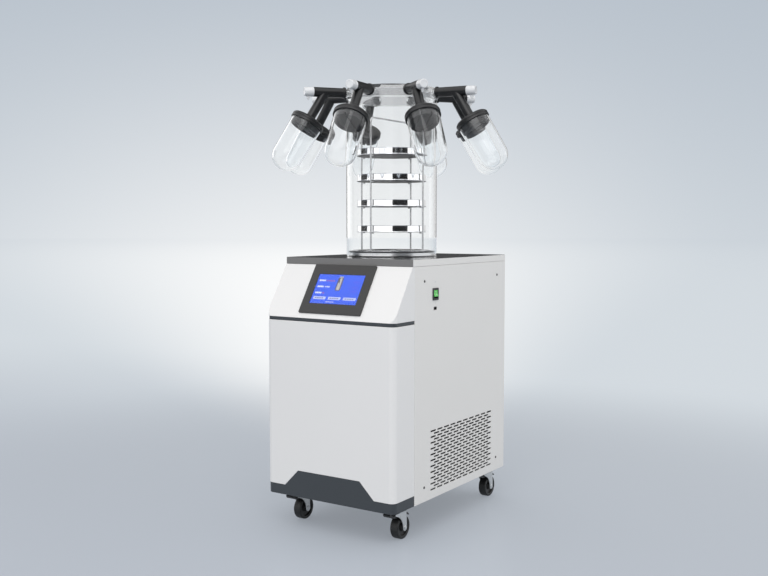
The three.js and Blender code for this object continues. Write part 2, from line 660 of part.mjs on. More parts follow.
// ---------------------------------------------------------------- cold trap
// A deep-drawn well with its refrigerated coil soldered round the wall and its vacuum line welded in.
function coldTrap() {
  const outer = TRAP_RADIUS + TRAP_WALL;
  const top = DECK_Z + GAP + TRAP_WALL;
  const floor = top - TRAP_DEPTH;
  const well = turn([
    [0, floor - TRAP_WALL], [outer, floor - TRAP_WALL], [outer, DECK_Z + GAP], [TRAP_FLANGE, DECK_Z + GAP],
    [TRAP_FLANGE, top], [TRAP_RADIUS, top], [TRAP_RADIUS, floor], [0, floor],
  ], FACETS.large);
  const radius = TRAP_RADIUS - COIL_TUBE - COIL_STAND_OFF;
  const low = floor + 30;
  const points = Array.from({ length: COIL_TURNS * COIL_STEPS + 1 }, (_, i) => {
    const turned = i / COIL_STEPS;
    const angle = 2 * Math.PI * turned;
    return new THREE.Vector3(radius * Math.cos(angle), radius * Math.sin(angle), low + COIL_PITCH * turned);
  });
  const section = outline(arc(0, 0, COIL_TUBE, 0, 270, 3));
  const coil = solid(new THREE.ExtrudeGeometry(section, {
    steps: COIL_TURNS * COIL_STEPS, extrudePath: new Bends(points),
  }));
  const strap = box([radius, -3, low - 9], [TRAP_RADIUS + 1, 3, low + COIL_TURNS * COIL_PITCH + 9]);
  const straps = [0, 180].map((angle) => strap.rotate([0, 0, angle]));
  const end = BACK_Y + LINE_REACH;
  const line = turn([
    [LINE_RADIUS - LINE_WALL, TRAP_RADIUS - 4], [LINE_RADIUS, TRAP_RADIUS - 4], [LINE_RADIUS, end - 8],
    [LINE_FLANGE, end - 3.5], [LINE_FLANGE, end], [LINE_RADIUS - LINE_WALL, end],
  ], FACETS.small);
  const lineBore = cylinder(LINE_RADIUS - LINE_WALL, TRAP_RADIUS - 8, TRAP_RADIUS + 9, FACETS.small);
  const toLine = (body) => placed(body, alongY).translate([0, 0, LINE_Z]);
  const trimmed = toLine(line).subtract(cylinder(TRAP_RADIUS, floor, top, FACETS.large));
  return join(cut(well, toLine(lineBore)), coil, ...straps, trimmed);
}
add('cold_trap', coldTrap(), MATERIAL.steel);

// ---------------------------------------------------------------- chamber
const BARREL_START = CHAMBER_RADIUS + BARREL_STAND_OFF - FLANGE_THICKNESS / 2;
const BARREL_END = BARREL_START + BARREL_LENGTH + FLANGE_THICKNESS / 2;

// Polished ring that centres the chamber on the deck and carries the rack.
function baseRing() {
  const outer = CHAMBER_INNER - GAP;
  const step = DECK_Z + GAP + TRAP_WALL + GAP;
  const top = DECK_Z + RING_HEIGHT;
  return turn([
    [outer - RING_WALL, step], [TRAP_FLANGE + GAP, step], [TRAP_FLANGE + GAP, CHAMBER_FOOT],
    [outer, CHAMBER_FOOT], [outer, top], [outer - RING_WALL, top],
  ], FACETS.large);
}
add('base_ring', baseRing(), MATERIAL.steel);

const portAngle = (index) => PORT_TURN + (360 / PORT_COUNT) * index;

// Turns a body drawn along +Z to run out along one port.
function alongPort(body, index) {
  return placed(body, alongX).translate([0, 0, PORT_Z]).rotate([0, 0, portAngle(index)]);
}

// Clear tube bonded to a thick collar and lid, with a nipple for each valve.
function dryingChamber() {
  const wall = CHAMBER_RADIUS - COLLAR_WALL;
  const collarFoot = CHAMBER_TOP - COLLAR_HEIGHT;
  const body = turn([
    [CHAMBER_INNER, CHAMBER_FOOT], [CHAMBER_RADIUS, CHAMBER_FOOT], [CHAMBER_RADIUS, CHAMBER_TOP],
    [0, CHAMBER_TOP], [0, CHAMBER_TOP - LID_THICKNESS], [wall, CHAMBER_TOP - LID_THICKNESS],
    [wall, collarFoot], [CHAMBER_INNER, collarFoot],
  ], FACETS.large);
  const nipples = [];
  const bores = [];
  for (let i = 0; i < PORT_COUNT; i += 1) {
    const end = CHAMBER_RADIUS + NIPPLE_REACH;
    nipples.push(alongPort(turn([
      [0, wall + 5], [NIPPLE_SHOULDER, wall + 5], [NIPPLE_SHOULDER_TIP, BARREL_START - GAP],
      [0, BARREL_START - GAP],
    ], FACETS.pin), i));
    nipples.push(alongPort(cylinder(NIPPLE_RADIUS, wall + 5, end, FACETS.pin), i));
    bores.push(alongPort(cylinder(NIPPLE_BORE, wall - 9, end + 9, 6), i));
  }
  return cut(join(body, ...nipples), ...bores);
}
add('drying_chamber', dryingChamber(), MATERIAL.glass);

// ---------------------------------------------------------------- tray rack and trays
const TRAY_RADIUS = CHAMBER_INNER - TRAY_CLEARANCE;
const ROD_CIRCLE = TRAY_RADIUS + ROD_CLEARANCE + ROD_RADIUS;
const ROD_TOP_Z = CHAMBER_TOP - LID_THICKNESS - HANDLE_CLEARANCE;
const RACK_FOOT = DECK_Z + RING_HEIGHT + GAP;
const lowTrayZ = DECK_Z + LOW_TRAY_LIFT;
const trayPitch = (ROD_TOP_Z - TOP_TRAY_DROP - lowTrayZ) / (TRAY_COUNT - 1);
const trayZ = (index) => lowTrayZ + trayPitch * index;

// Two uprights and the crossbar that joins their tops, bent from one rod.
function handleRod() {
  const middle = ROD_TOP_Z - ROD_RADIUS - HANDLE_BEND;
  const reach = ROD_CIRCLE - HANDLE_BEND;
  const path = new Bends([
    [-ROD_CIRCLE, RACK_FOOT + 1],
    ...arc(-reach, middle, HANDLE_BEND, 180, 90, 4),
    ...arc(reach, middle, HANDLE_BEND, 90, 0, 4),
    [ROD_CIRCLE, RACK_FOOT + 1],
  ].map(([y, z]) => new THREE.Vector3(0, y, z)));
  const section = outline(arc(0, 0, ROD_RADIUS, 0, 315, 7));
  return solid(new THREE.ExtrudeGeometry(section, { steps: path.points.length - 1, extrudePath: path }));
}

// Ring foot, four uprights and a lug on each of them under every tray.
function trayRack() {
  const foot = turn([
    [ROD_CIRCLE - RACK_RING_WIDTH / 2, RACK_FOOT], [ROD_CIRCLE + RACK_RING_WIDTH / 2, RACK_FOOT],
    [ROD_CIRCLE + RACK_RING_WIDTH / 2, RACK_FOOT + 3], [ROD_CIRCLE - RACK_RING_WIDTH / 2, RACK_FOOT + 3],
  ], FACETS.large);
  const sideRod = cylinder(ROD_RADIUS, RACK_FOOT + 1, ROD_TOP_Z, FACETS.pin);
  const lugs = [];
  for (let level = 0; level < TRAY_COUNT; level += 1) {
    const top = trayZ(level) - GAP;
    const width = LUG_WIDTH / 2;
    const lug = box([ROD_CIRCLE - LUG_REACH, -width, top - LUG_THICKNESS], [ROD_CIRCLE, width, top]);
    for (const angle of [0, 90, 180, 270]) lugs.push(lug.rotate([0, 0, angle]));
  }
  const sideRods = [-ROD_CIRCLE, ROD_CIRCLE].map((x) => moved(sideRod, x, 0, 0));
  return join(foot, handleRod(), ...sideRods, ...lugs);
}
add('tray_rack', trayRack(), MATERIAL.steel);

// Shallow drawn tray with a rounded heel and a plain rim.
function tray() {
  const r = TRAY_RADIUS;
  const t = TRAY_SHEET;
  return turn([
    [0, 0], [r - TRAY_HEEL, 0], [r, TRAY_HEEL], [r, TRAY_HEIGHT], [r - t, TRAY_HEIGHT], [r - t, t], [0, t],
  ], FACETS.large);
}
for (let i = 0; i < TRAY_COUNT; i += 1) {
  add(`tray_${TRAY_COUNT - i}`, moved(tray(), 0, 0, trayZ(i)), MATERIAL.steel);
}

// ---------------------------------------------------------------- flask valves
// Turns a body drawn along +Z to run down the leg, with its origin where the leg meets the port.
function alongLeg(body, index) {
  return body
    .rotate([0, 180 - LEG_TILT, 0])
    .translate([BARREL_END - LEG_SETBACK, 0, PORT_Z])
    .rotate([0, 0, portAngle(index)]);
}

const PLUG_RADIUS = FLASK_RADIUS - FLASK_WALL - GAP;
const CAP_RADIUS = FLASK_RADIUS + CAP_MARGIN;

// Rubber barrel, leg and flask cap in one moulding.
function valveBody(index) {
  const shoulder = BARREL_START + FLANGE_THICKNESS;
  const barrel = turn([
    [0, BARREL_START], [FLANGE_RADIUS, BARREL_START], [FLANGE_RADIUS, shoulder],
    [BARREL_RADIUS, shoulder], [BARREL_RADIUS, BARREL_END], [0, BARREL_END],
  ], FACETS.small);
  const seat = cylinder(NIPPLE_RADIUS + GAP, BARREL_START - 1, CHAMBER_RADIUS + NIPPLE_REACH + 1, FACETS.pin);
  const spigotFoot = BARREL_END - SPIGOT_LENGTH - 1;
  const seatRadius = (SPIGOT_RADIUS + GAP) / Math.cos(Math.PI / FACETS.pin);
  const spigotSeat = cylinder(seatRadius, spigotFoot, BARREL_END + 1, FACETS.pin);
  const leg = cylinder(LEG_RADIUS, 0, CAP_AT + 2, FACETS.pin);
  const under = CAP_AT + CAP_THICKNESS;
  const cap = turn([
    [0, CAP_AT], [CAP_RADIUS - 4, CAP_AT], [CAP_RADIUS, CAP_AT + 5], [CAP_RADIUS, under],
    [PLUG_RADIUS, under], [PLUG_RADIUS - PLUG_DRAFT, under + PLUG_DEPTH], [0, under + PLUG_DEPTH],
  ], FACETS.flask);
  const body = join(alongPort(barrel, index), alongLeg(join(leg, cap), index));
  return cut(body, alongPort(seat, index), alongPort(spigotSeat, index));
}

// Tapered knob with a pointer, on a spigot that turns in the end of the barrel.
function valveKnob(index) {
  const start = BARREL_END + GAP;
  const end = start + KNOB_LENGTH;
  const dome = turn([
    [0, start], [KNOB_RADIUS, start], [KNOB_TIP_RADIUS, end - KNOB_EDGE], [KNOB_TIP_RADIUS - KNOB_EDGE, end],
    [0, end],
  ], FACETS.small);
  const spigot = cylinder(SPIGOT_RADIUS, start - SPIGOT_LENGTH, start + 1, FACETS.pin);
  const pointer = extrude(outline([
    [start + 6, 8], [end - 3, 8], [end - 10, POINTER_REACH], [end - 12.5, POINTER_REACH],
  ]), 'y', -POINTER_THICKNESS / 2, POINTER_THICKNESS / 2);
  return alongPort(join(dome, spigot, pointer), index);
}

// Clear flask: an open mouth, a slight taper and a round bottom.
function flask(index) {
  const mouth = CAP_AT + CAP_THICKNESS + GAP;
  const low = mouth + FLASK_LENGTH;
  const r = FLASK_RADIUS - FLASK_TAPER;
  const outer = arc(0, low - r, r, 90, 0, 3);
  const inner = arc(0, low - r, r - FLASK_WALL, 0, 90, 3);
  const profile = [...outer, [FLASK_RADIUS, mouth], [FLASK_RADIUS - FLASK_WALL, mouth], ...inner];
  return alongLeg(turn(profile.reverse(), FACETS.flask), index);
}

for (let i = 0; i < PORT_COUNT; i += 1) {
  add(`valve_body_${i + 1}`, valveBody(i), MATERIAL.rubber);
  add(`valve_knob_${i + 1}`, valveKnob(i), MATERIAL.knob);
  add(`flask_${i + 1}`, flask(i), MATERIAL.glass);
}

// ---------------------------------------------------------------- castors
const legInner = WHEEL_WIDTH / 2 + WHEEL_SIDE_GAP;
const legOuter = legInner + FORK_PLATE;
const pedalInner = WHEEL_RADIUS + PEDAL_CLEARANCE;
const pedalOuter = pedalInner + PEDAL_THICKNESS;
const pedalPivotZ = 2 * WHEEL_RADIUS + PEDAL_PIVOT_LIFT;

// Pressed fork with its lower race, kingpin, axle and brake pin. The swivel axis is at X = 0, Y = 0.
function castorFork() {
  const back = TRAIL + 9;
  const side = new THREE.Shape();
  side.moveTo(-TRAIL - 1, FORK_CROWN_Z);
  side.lineTo(-TRAIL - 1, FORK_CROWN_Z - 7);
  side.quadraticCurveTo(TRAIL / 2, 2 * WHEEL_RADIUS - 1, TRAIL - 9, WHEEL_RADIUS);
  side.absarc(TRAIL, WHEEL_RADIUS, 9, Math.PI, 2 * Math.PI, false);
  side.lineTo(back - 3, FORK_CROWN_Z);
  const legs = [-legOuter, legInner].map((x) => extrude(side, 'x', x, x + FORK_PLATE, 2));
  const bridge = box([-legOuter, -TRAIL - 1, FORK_CROWN_Z - FORK_BRIDGE], [legOuter, back - 3, FORK_CROWN_Z]);
  const race = cylinder(RACE_RADIUS, FORK_CROWN_Z - 1, RACE_TOP_Z, FACETS.small);
  const kingpin = cylinder(KINGPIN_RADIUS, RACE_TOP_Z - 1, BODY_Z - GAP, FACETS.pin);
  const crossPin = (radius, y, z, reach) => placed(cylinder(radius, -reach, reach, FACETS.pin), alongX)
    .translate([0, y, z]);
  const axle = crossPin(AXLE_RADIUS, TRAIL, WHEEL_RADIUS, legOuter + 2);
  const pedalPin = crossPin(PEDAL_PIN_RADIUS, 0, pedalPivotZ, legInner + 1);
  return join(...legs, bridge, race, kingpin, axle, pedalPin);
}

function castorWheel() {
  const half = WHEEL_WIDTH / 2;
  const bore = (AXLE_RADIUS + GAP) / Math.cos(Math.PI / FACETS.medium);
  const shoulder = 3;
  const wheel = turn([
    [bore, -half], [WHEEL_RADIUS - shoulder, -half], [WHEEL_RADIUS, -half + shoulder],
    [WHEEL_RADIUS, half - shoulder], [WHEEL_RADIUS - shoulder, half], [bore, half],
  ], FACETS.medium);
  return placed(wheel, alongX).translate([0, TRAIL, WHEEL_RADIUS]);
}

// Two-ended brake lever: a tongue in front of the fork, and a shoe that follows the tread behind it.
function castorPedal() {
  const lever = outline([
    ...arc(TRAIL, WHEEL_RADIUS, pedalInner, 45, 122, 4),
    ...[[-22, -1], [-41, 6], [-44, 12], [-40, 15], [-26, 7], [-9, 5]].map(([y, z]) => [y, pedalPivotZ + z]),
    ...arc(TRAIL, WHEEL_RADIUS, pedalOuter, 100, 45, 3),
  ]);
  const half = PEDAL_WIDTH / 2;
  const body = extrude(lever, 'x', -half, half);
  const eye = (radius, reach) => placed(cylinder(radius, -reach, reach, FACETS.pin), alongX)
    .translate([0, 0, pedalPivotZ]);
  return cut(join(body, eye(PEDAL_PIN_RADIUS + 2.5, legInner - GAP)), eye(PEDAL_PIN_RADIUS + GAP, legOuter));
}

for (const [place, x, y] of CASTORS) {
  const castor = new THREE.Group();
  castor.position.set(x, y, 0);
  dryer.add(castor);
  add(`castor_fork_${place}`, castorFork(), MATERIAL.zinc, castor);
  add(`castor_wheel_${place}`, castorWheel(), MATERIAL.tyre, castor);
  add(`castor_pedal_${place}`, castorPedal(), MATERIAL.black, castor);
}

export default dryer;
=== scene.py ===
# A floor-standing laboratory freeze dryer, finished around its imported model: a white cabinet on castors,
# a clear drying chamber with a rack of polished trays, and eight rubber valves that hold glass flasks.
# Metres, +Z up; the front faces -Y. Each section is one piece or group of like pieces, in the order in
# which the machine goes together.
import json
from functools import partial
from math import atan2, cos, hypot, pi, radians, sin, tan

import bmesh
import bpy
from mathutils import Matrix, Vector


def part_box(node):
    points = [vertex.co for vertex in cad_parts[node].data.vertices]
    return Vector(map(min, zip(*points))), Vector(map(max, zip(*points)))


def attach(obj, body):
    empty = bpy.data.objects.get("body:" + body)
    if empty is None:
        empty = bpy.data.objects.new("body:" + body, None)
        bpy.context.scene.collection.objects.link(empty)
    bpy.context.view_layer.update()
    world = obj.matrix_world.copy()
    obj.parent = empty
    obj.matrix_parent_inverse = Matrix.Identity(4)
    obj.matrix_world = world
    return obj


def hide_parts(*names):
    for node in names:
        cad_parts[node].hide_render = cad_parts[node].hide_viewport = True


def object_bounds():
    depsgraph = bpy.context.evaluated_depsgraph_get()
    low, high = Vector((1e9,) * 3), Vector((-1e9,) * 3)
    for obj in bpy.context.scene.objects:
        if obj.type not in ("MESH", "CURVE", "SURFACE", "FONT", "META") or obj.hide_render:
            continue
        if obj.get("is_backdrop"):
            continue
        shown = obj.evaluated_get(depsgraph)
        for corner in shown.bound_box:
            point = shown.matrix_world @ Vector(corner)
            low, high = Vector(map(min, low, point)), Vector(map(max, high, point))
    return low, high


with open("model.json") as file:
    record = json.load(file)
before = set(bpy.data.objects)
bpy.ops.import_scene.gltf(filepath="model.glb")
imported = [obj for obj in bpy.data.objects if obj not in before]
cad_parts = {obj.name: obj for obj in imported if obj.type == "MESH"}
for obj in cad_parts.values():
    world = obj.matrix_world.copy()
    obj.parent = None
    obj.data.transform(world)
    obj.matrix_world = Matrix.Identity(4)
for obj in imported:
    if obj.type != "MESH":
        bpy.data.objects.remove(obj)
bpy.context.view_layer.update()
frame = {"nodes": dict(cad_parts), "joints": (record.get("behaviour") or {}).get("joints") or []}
scene = bpy.context.scene
joints = {joint["name"]: joint for joint in frame["joints"]}

# ------------------------------------------------------------------ camera
# The camera stands in front of the machine, to its right, a little above the height of the deck, and looks
# slightly down at it through a moderately long lens.
camera = bpy.data.objects.new("camera", bpy.data.cameras.new("camera"))
camera.location = (1.543, -2.365, 0.836)
camera.rotation_euler = (radians(86.28), 0, radians(33.56))
camera.data.sensor_width = 36
camera.data.lens = 45.77
scene.collection.objects.link(camera)
scene.camera = camera

# ------------------------------------------------------------------ studio
# A pale floor that runs out into a pale backdrop, under one large soft light and an even sky. Polished
# metal sees tall dark cards between the white walls, as it does in a product studio.
scene.view_settings.view_transform = "Standard"
scene.cycles.max_bounces = 24
scene.cycles.transmission_bounces = 20
scene.cycles.transparent_max_bounces = 20

HORIZON_TONE = (0.989, 0.995, 0.993, 1)  # where the backdrop is brightest, to the left behind the machine
SIDE_TONE = (0.657, 0.704, 0.746, 1)
SKY_TONE = (0.462, 0.519, 0.587, 1)
FLOOR_TONE = (0.54, 0.58, 0.63, 1)
NEAR_FLOOR_TONE = (0.420, 0.458, 0.522, 1)
BRIGHT_AZIMUTH, BRIGHT_SPREAD = radians(128), radians(27.2)
SKY_LOW, SKY_HIGH = -0.194, 0.325  # sines of the heights between which the backdrop turns to the sky's tone
FLOOR_TOWARDS, FLOOR_NEAR, FLOOR_FAR = radians(96.7), -1.61, 2.81  # the way the floor grows paler, metres
FLOOR_GLOW = 0.45  # share of the floor round the machine that shines by itself, which keeps shadows pale
GLOW_NEAR, GLOW_FAR = 0.9, 2.6  # metres between which that share grows to the whole
SKY_LIGHT = (0.86, 0.86, 0.86 * 1.015, 1)
WALL_LIGHT = (1.5, 1.5, 1.5 * 1.01, 1)
FLOOR_RADIUS = 60
CARDS = [(-28, 26, 24, 0.02), (-162, 17, 24, 0.02)]  # azimuth, half width and top in degrees, brightness
BACK_CARD = (108, 42, 70, 0.09)  # stands behind the machine, and only outer surfaces mirror it
BEHIND_GLASS = (0.80, 0.80, 0.80, 1)  # what inner surfaces of clear parts mirror in its place
GLASS_TONE, GLASS_SHARE = (0.93, 0.93, 0.925, 1), 0.5  # the backdrop is paler through clear parts
SOFTBOX, SOFTBOX_SIZE, SOFTBOX_WATTS = Vector((1.3, -2.4, 3.0)), 2.6, 46
SOFTBOX_AIM = Vector((0, 0, 0.6))


def step(tree, kind, settings=None, **inputs):
    """Adds a node to a tree and returns its outputs. Its inputs, named with _ for a space or by number as
    in i0, take a value or another node's output."""
    node = tree.nodes.new(kind)
    for key, value in (settings or {}).items():
        setattr(node, key, value)
    for label, value in inputs.items():
        socket = node.inputs[int(label[1:]) if label[1:].isdigit() else label.replace("_", " ")]
        if isinstance(value, bpy.types.NodeSocket):
            tree.links.new(value, socket)
        else:
            socket.default_value = value
    return node.outputs


def calc(tree, kind, *values):
    """One step of arithmetic."""
    numbered = {"i%d" % k: value for k, value in enumerate(values)}
    return step(tree, "ShaderNodeMath", {"operation": kind}, **numbered)[0]


def mixed(tree, share, first, second):
    """A colour between two others."""
    return step(tree, "ShaderNodeMix", {"data_type": "RGBA"}, i0=share, i6=first, i7=second)[2]


def away_from(tree, azimuth, middle):
    """How far an azimuth lies from a middle one, in radians and without a sign."""
    return calc(tree, "ABSOLUTE", calc(tree, "WRAP", calc(tree, "SUBTRACT", azimuth, middle), pi, -pi))


def eased(tree, value, low, high):
    """A smooth climb from 0 to 1 while a value goes from low to high."""
    return step(tree, "ShaderNodeMapRange", {"interpolation_type": "SMOOTHSTEP"}, Value=value, From_Min=low,
                From_Max=high)[0]


def far_tone(tree, x, y):
    """The tone of the backdrop at its foot, which is the same on the far floor, from the azimuth alone."""
    aside = away_from(tree, calc(tree, "ARCTAN2", y, x), BRIGHT_AZIMUTH)
    return mixed(tree, eased(tree, aside, 0, BRIGHT_SPREAD), HORIZON_TONE, SIDE_TONE)


def light_the_studio(tree):
    x, y, z = step(tree, "ShaderNodeSeparateXYZ", i0=step(tree, "ShaderNodeTexCoord")["Generated"])
    path = step(tree, "ShaderNodeLightPath")
    inside, mirrored, scattered = (calc(tree, "GREATER_THAN", path[kind + " Depth"], 0.5)
                                   for kind in ("Transmission", "Glossy", "Diffuse"))
    backdrop = mixed(tree, eased(tree, z, SKY_LOW, SKY_HIGH), far_tone(tree, x, y), SKY_TONE)
    backdrop = mixed(tree, calc(tree, "MULTIPLY", inside, GLASS_SHARE), backdrop, GLASS_TONE)
    walls = WALL_LIGHT
    for middle, half, top, tone in CARDS + [BACK_CARD]:
        aside = away_from(tree, calc(tree, "ARCTAN2", y, x), radians(middle))
        mask = calc(tree, "MULTIPLY", calc(tree, "LESS_THAN", aside, radians(half)),
                    calc(tree, "LESS_THAN", z, sin(radians(top))))
        card = (tone, tone, tone, 1)
        if middle == BACK_CARD[0]:
            card = mixed(tree, inside, card, BEHIND_GLASS)
        walls = mixed(tree, mask, walls, card)
    seen = mixed(tree, mirrored, backdrop, walls)
    tree.links.new(mixed(tree, scattered, seen, SKY_LIGHT), tree.nodes["Background"].inputs["Color"])


def linked(name, data):
    """A new object in the scene."""
    thing = bpy.data.objects.new(name, data)
    scene.collection.objects.link(thing)
    return thing


def new_material(name, **sockets):
    """A material whose main shader has these sockets set, named with _ for a space."""
    material = bpy.data.materials.new(name)
    material.use_nodes = True
    for socket, value in sockets.items():
        material.node_tree.nodes["Principled BSDF"].inputs[socket.replace("_", " ")].default_value = value
    return material


def blended(tree, share, other):
    """Ends a material in a blend of its main shader with another one."""
    blend = step(tree, "ShaderNodeMixShader", i0=share, i1=tree.nodes["Principled BSDF"].outputs[0], i2=other)
    tree.links.new(blend[0], tree.nodes["Material Output"].inputs["Surface"])


def lay_the_floor():
    floor = linked("floor", bpy.data.meshes.new("floor"))
    bm = bmesh.new()
    bmesh.ops.create_circle(bm, cap_ends=True, segments=96, radius=FLOOR_RADIUS)
    bm.to_mesh(floor.data)
    bm.free()
    material = new_material("pale_floor", Base_Color=FLOOR_TONE, Roughness=0.35, Specular_IOR_Level=0.25)
    tree = material.node_tree
    place = step(tree, "ShaderNodeTexCoord")["Object"]
    reach = step(tree, "ShaderNodeVectorMath", {"operation": "LENGTH"}, i0=place)["Value"]
    x, y, _ = step(tree, "ShaderNodeSeparateXYZ", i0=place)
    ahead = calc(tree, "MULTIPLY_ADD", x, cos(FLOOR_TOWARDS), calc(tree, "MULTIPLY", y, sin(FLOOR_TOWARDS)))
    foot = far_tone(tree, x, y)
    rise = (-camera.location.z / FLOOR_RADIUS - SKY_LOW) / (SKY_HIGH - SKY_LOW)
    horizon = mixed(tree, rise * rise * (3 - 2 * rise), foot, SKY_TONE)
    ground = mixed(tree, eased(tree, ahead, FLOOR_NEAR, FLOOR_FAR), NEAR_FLOOR_TONE, foot)
    tone = mixed(tree, eased(tree, reach, 0, 0.91 * FLOOR_RADIUS), ground, horizon)
    share = calc(tree, "MULTIPLY_ADD", eased(tree, reach, GLOW_NEAR, GLOW_FAR), 1 - FLOOR_GLOW, FLOOR_GLOW)
    blended(tree, share, step(tree, "ShaderNodeEmission", Color=tone)[0])
    floor.data.materials.append(material)
    floor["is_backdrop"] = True


scene.world = bpy.data.worlds.new("studio")
scene.world.use_nodes = True
light_the_studio(scene.world.node_tree)
softbox = linked("softbox", bpy.data.lights.new("softbox", "AREA"))
softbox.data.size, softbox.data.energy = SOFTBOX_SIZE, SOFTBOX_WATTS
softbox.location = SOFTBOX
softbox.rotation_euler = (SOFTBOX_AIM - SOFTBOX).to_track_quat("-Z", "Y").to_euler()
lay_the_floor()


# ------------------------------------------------------------------ base pan
# A folded pan of sheet that carries everything, coloured black as painted shade under the cabinet and behind
# the slots low on its sides: the castors bolt up through its corners with zinc-plated bolts. This section
# holds the shared surface effects and the way pieces are added.
def group_of(kind, name, inputs, outputs):
    """A node group with named inputs, as name: value, or type for one without a value, and named outputs."""
    group = bpy.data.node_groups.new(name, kind)
    kinds = {float: "Float", int: "Int"}
    for label, value in inputs.items():
        given = value if isinstance(value, str) else kinds.get(type(value)) or ("Color" if len(value) == 4
                                                                                 else "Vector")
        socket = group.interface.new_socket(label, in_out="INPUT", socket_type="NodeSocket" + given)
        if not isinstance(value, str):
            socket.default_value = value
    for label, given in outputs.items():
        group.interface.new_socket(label, in_out="OUTPUT", socket_type="NodeSocket" + given)
    return group, group.nodes.new("NodeGroupInput").outputs, group.nodes.new("NodeGroupOutput").inputs


def relief(group, start, end, fine, broad, distance):
    """What the effects share: a bump from fine marks, and a gloss that swings with the broad ones."""
    group.links.new(step(group, "ShaderNodeBump", Strength=start["Depth"], Distance=distance, Height=fine)[0],
                    end["Normal"])
    swing = calc(group, "SUBTRACT", broad, 0.5)
    group.links.new(calc(group, "MULTIPLY_ADD", swing, start["Roughness change"], start["Roughness"]),
                    end["Roughness"])
    return swing


def grain_effect():
    """Fine moulded or sprayed grain over soft, broad changes of tone and gloss."""
    group, start, end = group_of(
        "ShaderNodeTree", "surface_grain",
        {"Vector": (0.0, 0.0, 0.0), "Grain per m": 900.0, "Depth": 0.1, "Tone": (0.8, 0.8, 0.8, 1.0),
         "Tone change": 0.03, "Roughness": 0.5, "Roughness change": 0.06},
        {"Color": "Color", "Roughness": "Float", "Normal": "Vector"})
    fine = step(group, "ShaderNodeTexNoise", Vector=start["Vector"], Scale=start["Grain per m"], Detail=3)
    broad = step(group, "ShaderNodeTexNoise", Vector=start["Vector"], Scale=9, Detail=4)
    swing = relief(group, start, end, fine["Fac"], broad["Fac"], 0.0004)
    gain = calc(group, "MULTIPLY_ADD", swing, start["Tone change"], 1.0)
    tone = step(group, "ShaderNodeVectorMath", {"operation": "SCALE"}, i0=start["Tone"], Scale=gain)[0]
    group.links.new(tone, end["Color"])
    return group


def streak_effect():
    """Long parallel polishing marks: noise drawn out along one direction by its own scale on each axis."""
    group, start, end = group_of(
        "ShaderNodeTree", "polishing_streaks",
        {"Vector": (0.0, 0.0, 0.0), "Marks per m": (40.0, 40.0, 2500.0), "Depth": 0.1, "Roughness": 0.2,
         "Roughness change": 0.1},
        {"Roughness": "Float", "Normal": "Vector"})
    stretched = step(group, "ShaderNodeVectorMath", {"operation": "MULTIPLY"}, i0=start["Vector"],
                     i1=start["Marks per m"])[0]
    marks = step(group, "ShaderNodeTexNoise", Vector=stretched, Scale=1, Detail=2)["Fac"]
    relief(group, start, end, marks, marks, 0.0002)
    return group


GRAIN = grain_effect()
STREAKS = streak_effect()


def with_effect(material, group, **values):
    """Puts a shared effect into a material on Object coordinates and joins it to the main shader."""
    tree = material.node_tree
    place = step(tree, "ShaderNodeTexCoord")["Object"]
    for output in step(tree, "ShaderNodeGroup", {"node_tree": group}, Vector=place, **values):
        socket = "Base Color" if output.name == "Color" else output.name
        tree.links.new(output, tree.nodes["Principled BSDF"].inputs[socket])
    return material


def finish(name, tone, roughness, grain=900.0, depth=0.1, change=0.03, gloss_change=0.06, **sockets):
    """A solid-coloured finish with grain. Further shader sockets are named with _ for a space."""
    return with_effect(new_material(name, **sockets), GRAIN, Grain_per_m=grain, Depth=depth, Tone=(*tone, 1),
                       Tone_change=change, Roughness=roughness, Roughness_change=gloss_change)


def polished(name, tone, roughness, marks, depth=0.06, change=0.06):
    """Bare metal with polishing marks that run along one direction."""
    return with_effect(new_material(name, Base_Color=(*tone, 1), Metallic=1), STREAKS, Marks_per_m=marks,
                       Depth=depth, Roughness=roughness, Roughness_change=change)


def dressed(mesh, materials, chosen=lambda face: 0):
    """Gives a mesh its materials, with the number of one chosen for each face."""
    mesh.materials.clear()
    for material in materials:
        mesh.materials.append(material)
    for face in mesh.polygons:
        face.material_index = chosen(face)
    return mesh


def worked(mesh, *steps, sockets=None):
    """Runs modifiers, given as (type, settings), on a mesh and returns the result as a plain mesh."""
    thing = linked("work", mesh)
    for kind, settings in steps:
        modifier = thing.modifiers.new(kind, kind)
        for key, value in settings.items():
            setattr(modifier, key, value)
        for identifier, value in (sockets or {}).items():
            modifier[identifier] = value
    graph = bpy.context.evaluated_depsgraph_get()
    result = bpy.data.meshes.new_from_object(thing.evaluated_get(graph), depsgraph=graph)
    bpy.data.objects.remove(thing)
    return result


def rounded(width, segments=2, angle=30):
    """The step that eases a mesh's edges."""
    return ("BEVEL", {"width": width, "segments": segments, "limit_method": "ANGLE",
                      "angle_limit": radians(angle)})


def shaded(mesh, angle=32):
    """Smooth shading with creases at sharp angles. Broad faces stay flat and their rounded edges bend."""
    mesh.polygons.foreach_set("use_smooth", [True] * len(mesh.polygons))
    mesh.set_sharp_from_angle(angle=radians(angle))
    return worked(mesh, ("WEIGHTED_NORMAL", {"keep_sharp": True, "weight": 100}))


def faced_out(mesh, merge=0.0):
    """Turns a mesh's faces outwards, once points closer than a distance are merged."""
    bm = bmesh.new()
    bm.from_mesh(mesh)
    if merge:
        bmesh.ops.remove_doubles(bm, verts=bm.verts, dist=merge)
    bmesh.ops.recalc_face_normals(bm, faces=bm.faces)
    bm.to_mesh(mesh)
    bm.free()
    return mesh


def drawn(points, edges=(), faces=()):
    """A plain mesh from its points, with edges or faces that join them by number."""
    mesh = bpy.data.meshes.new("mesh")
    mesh.from_pydata([tuple(point) for point in points], edges, faces)
    return mesh


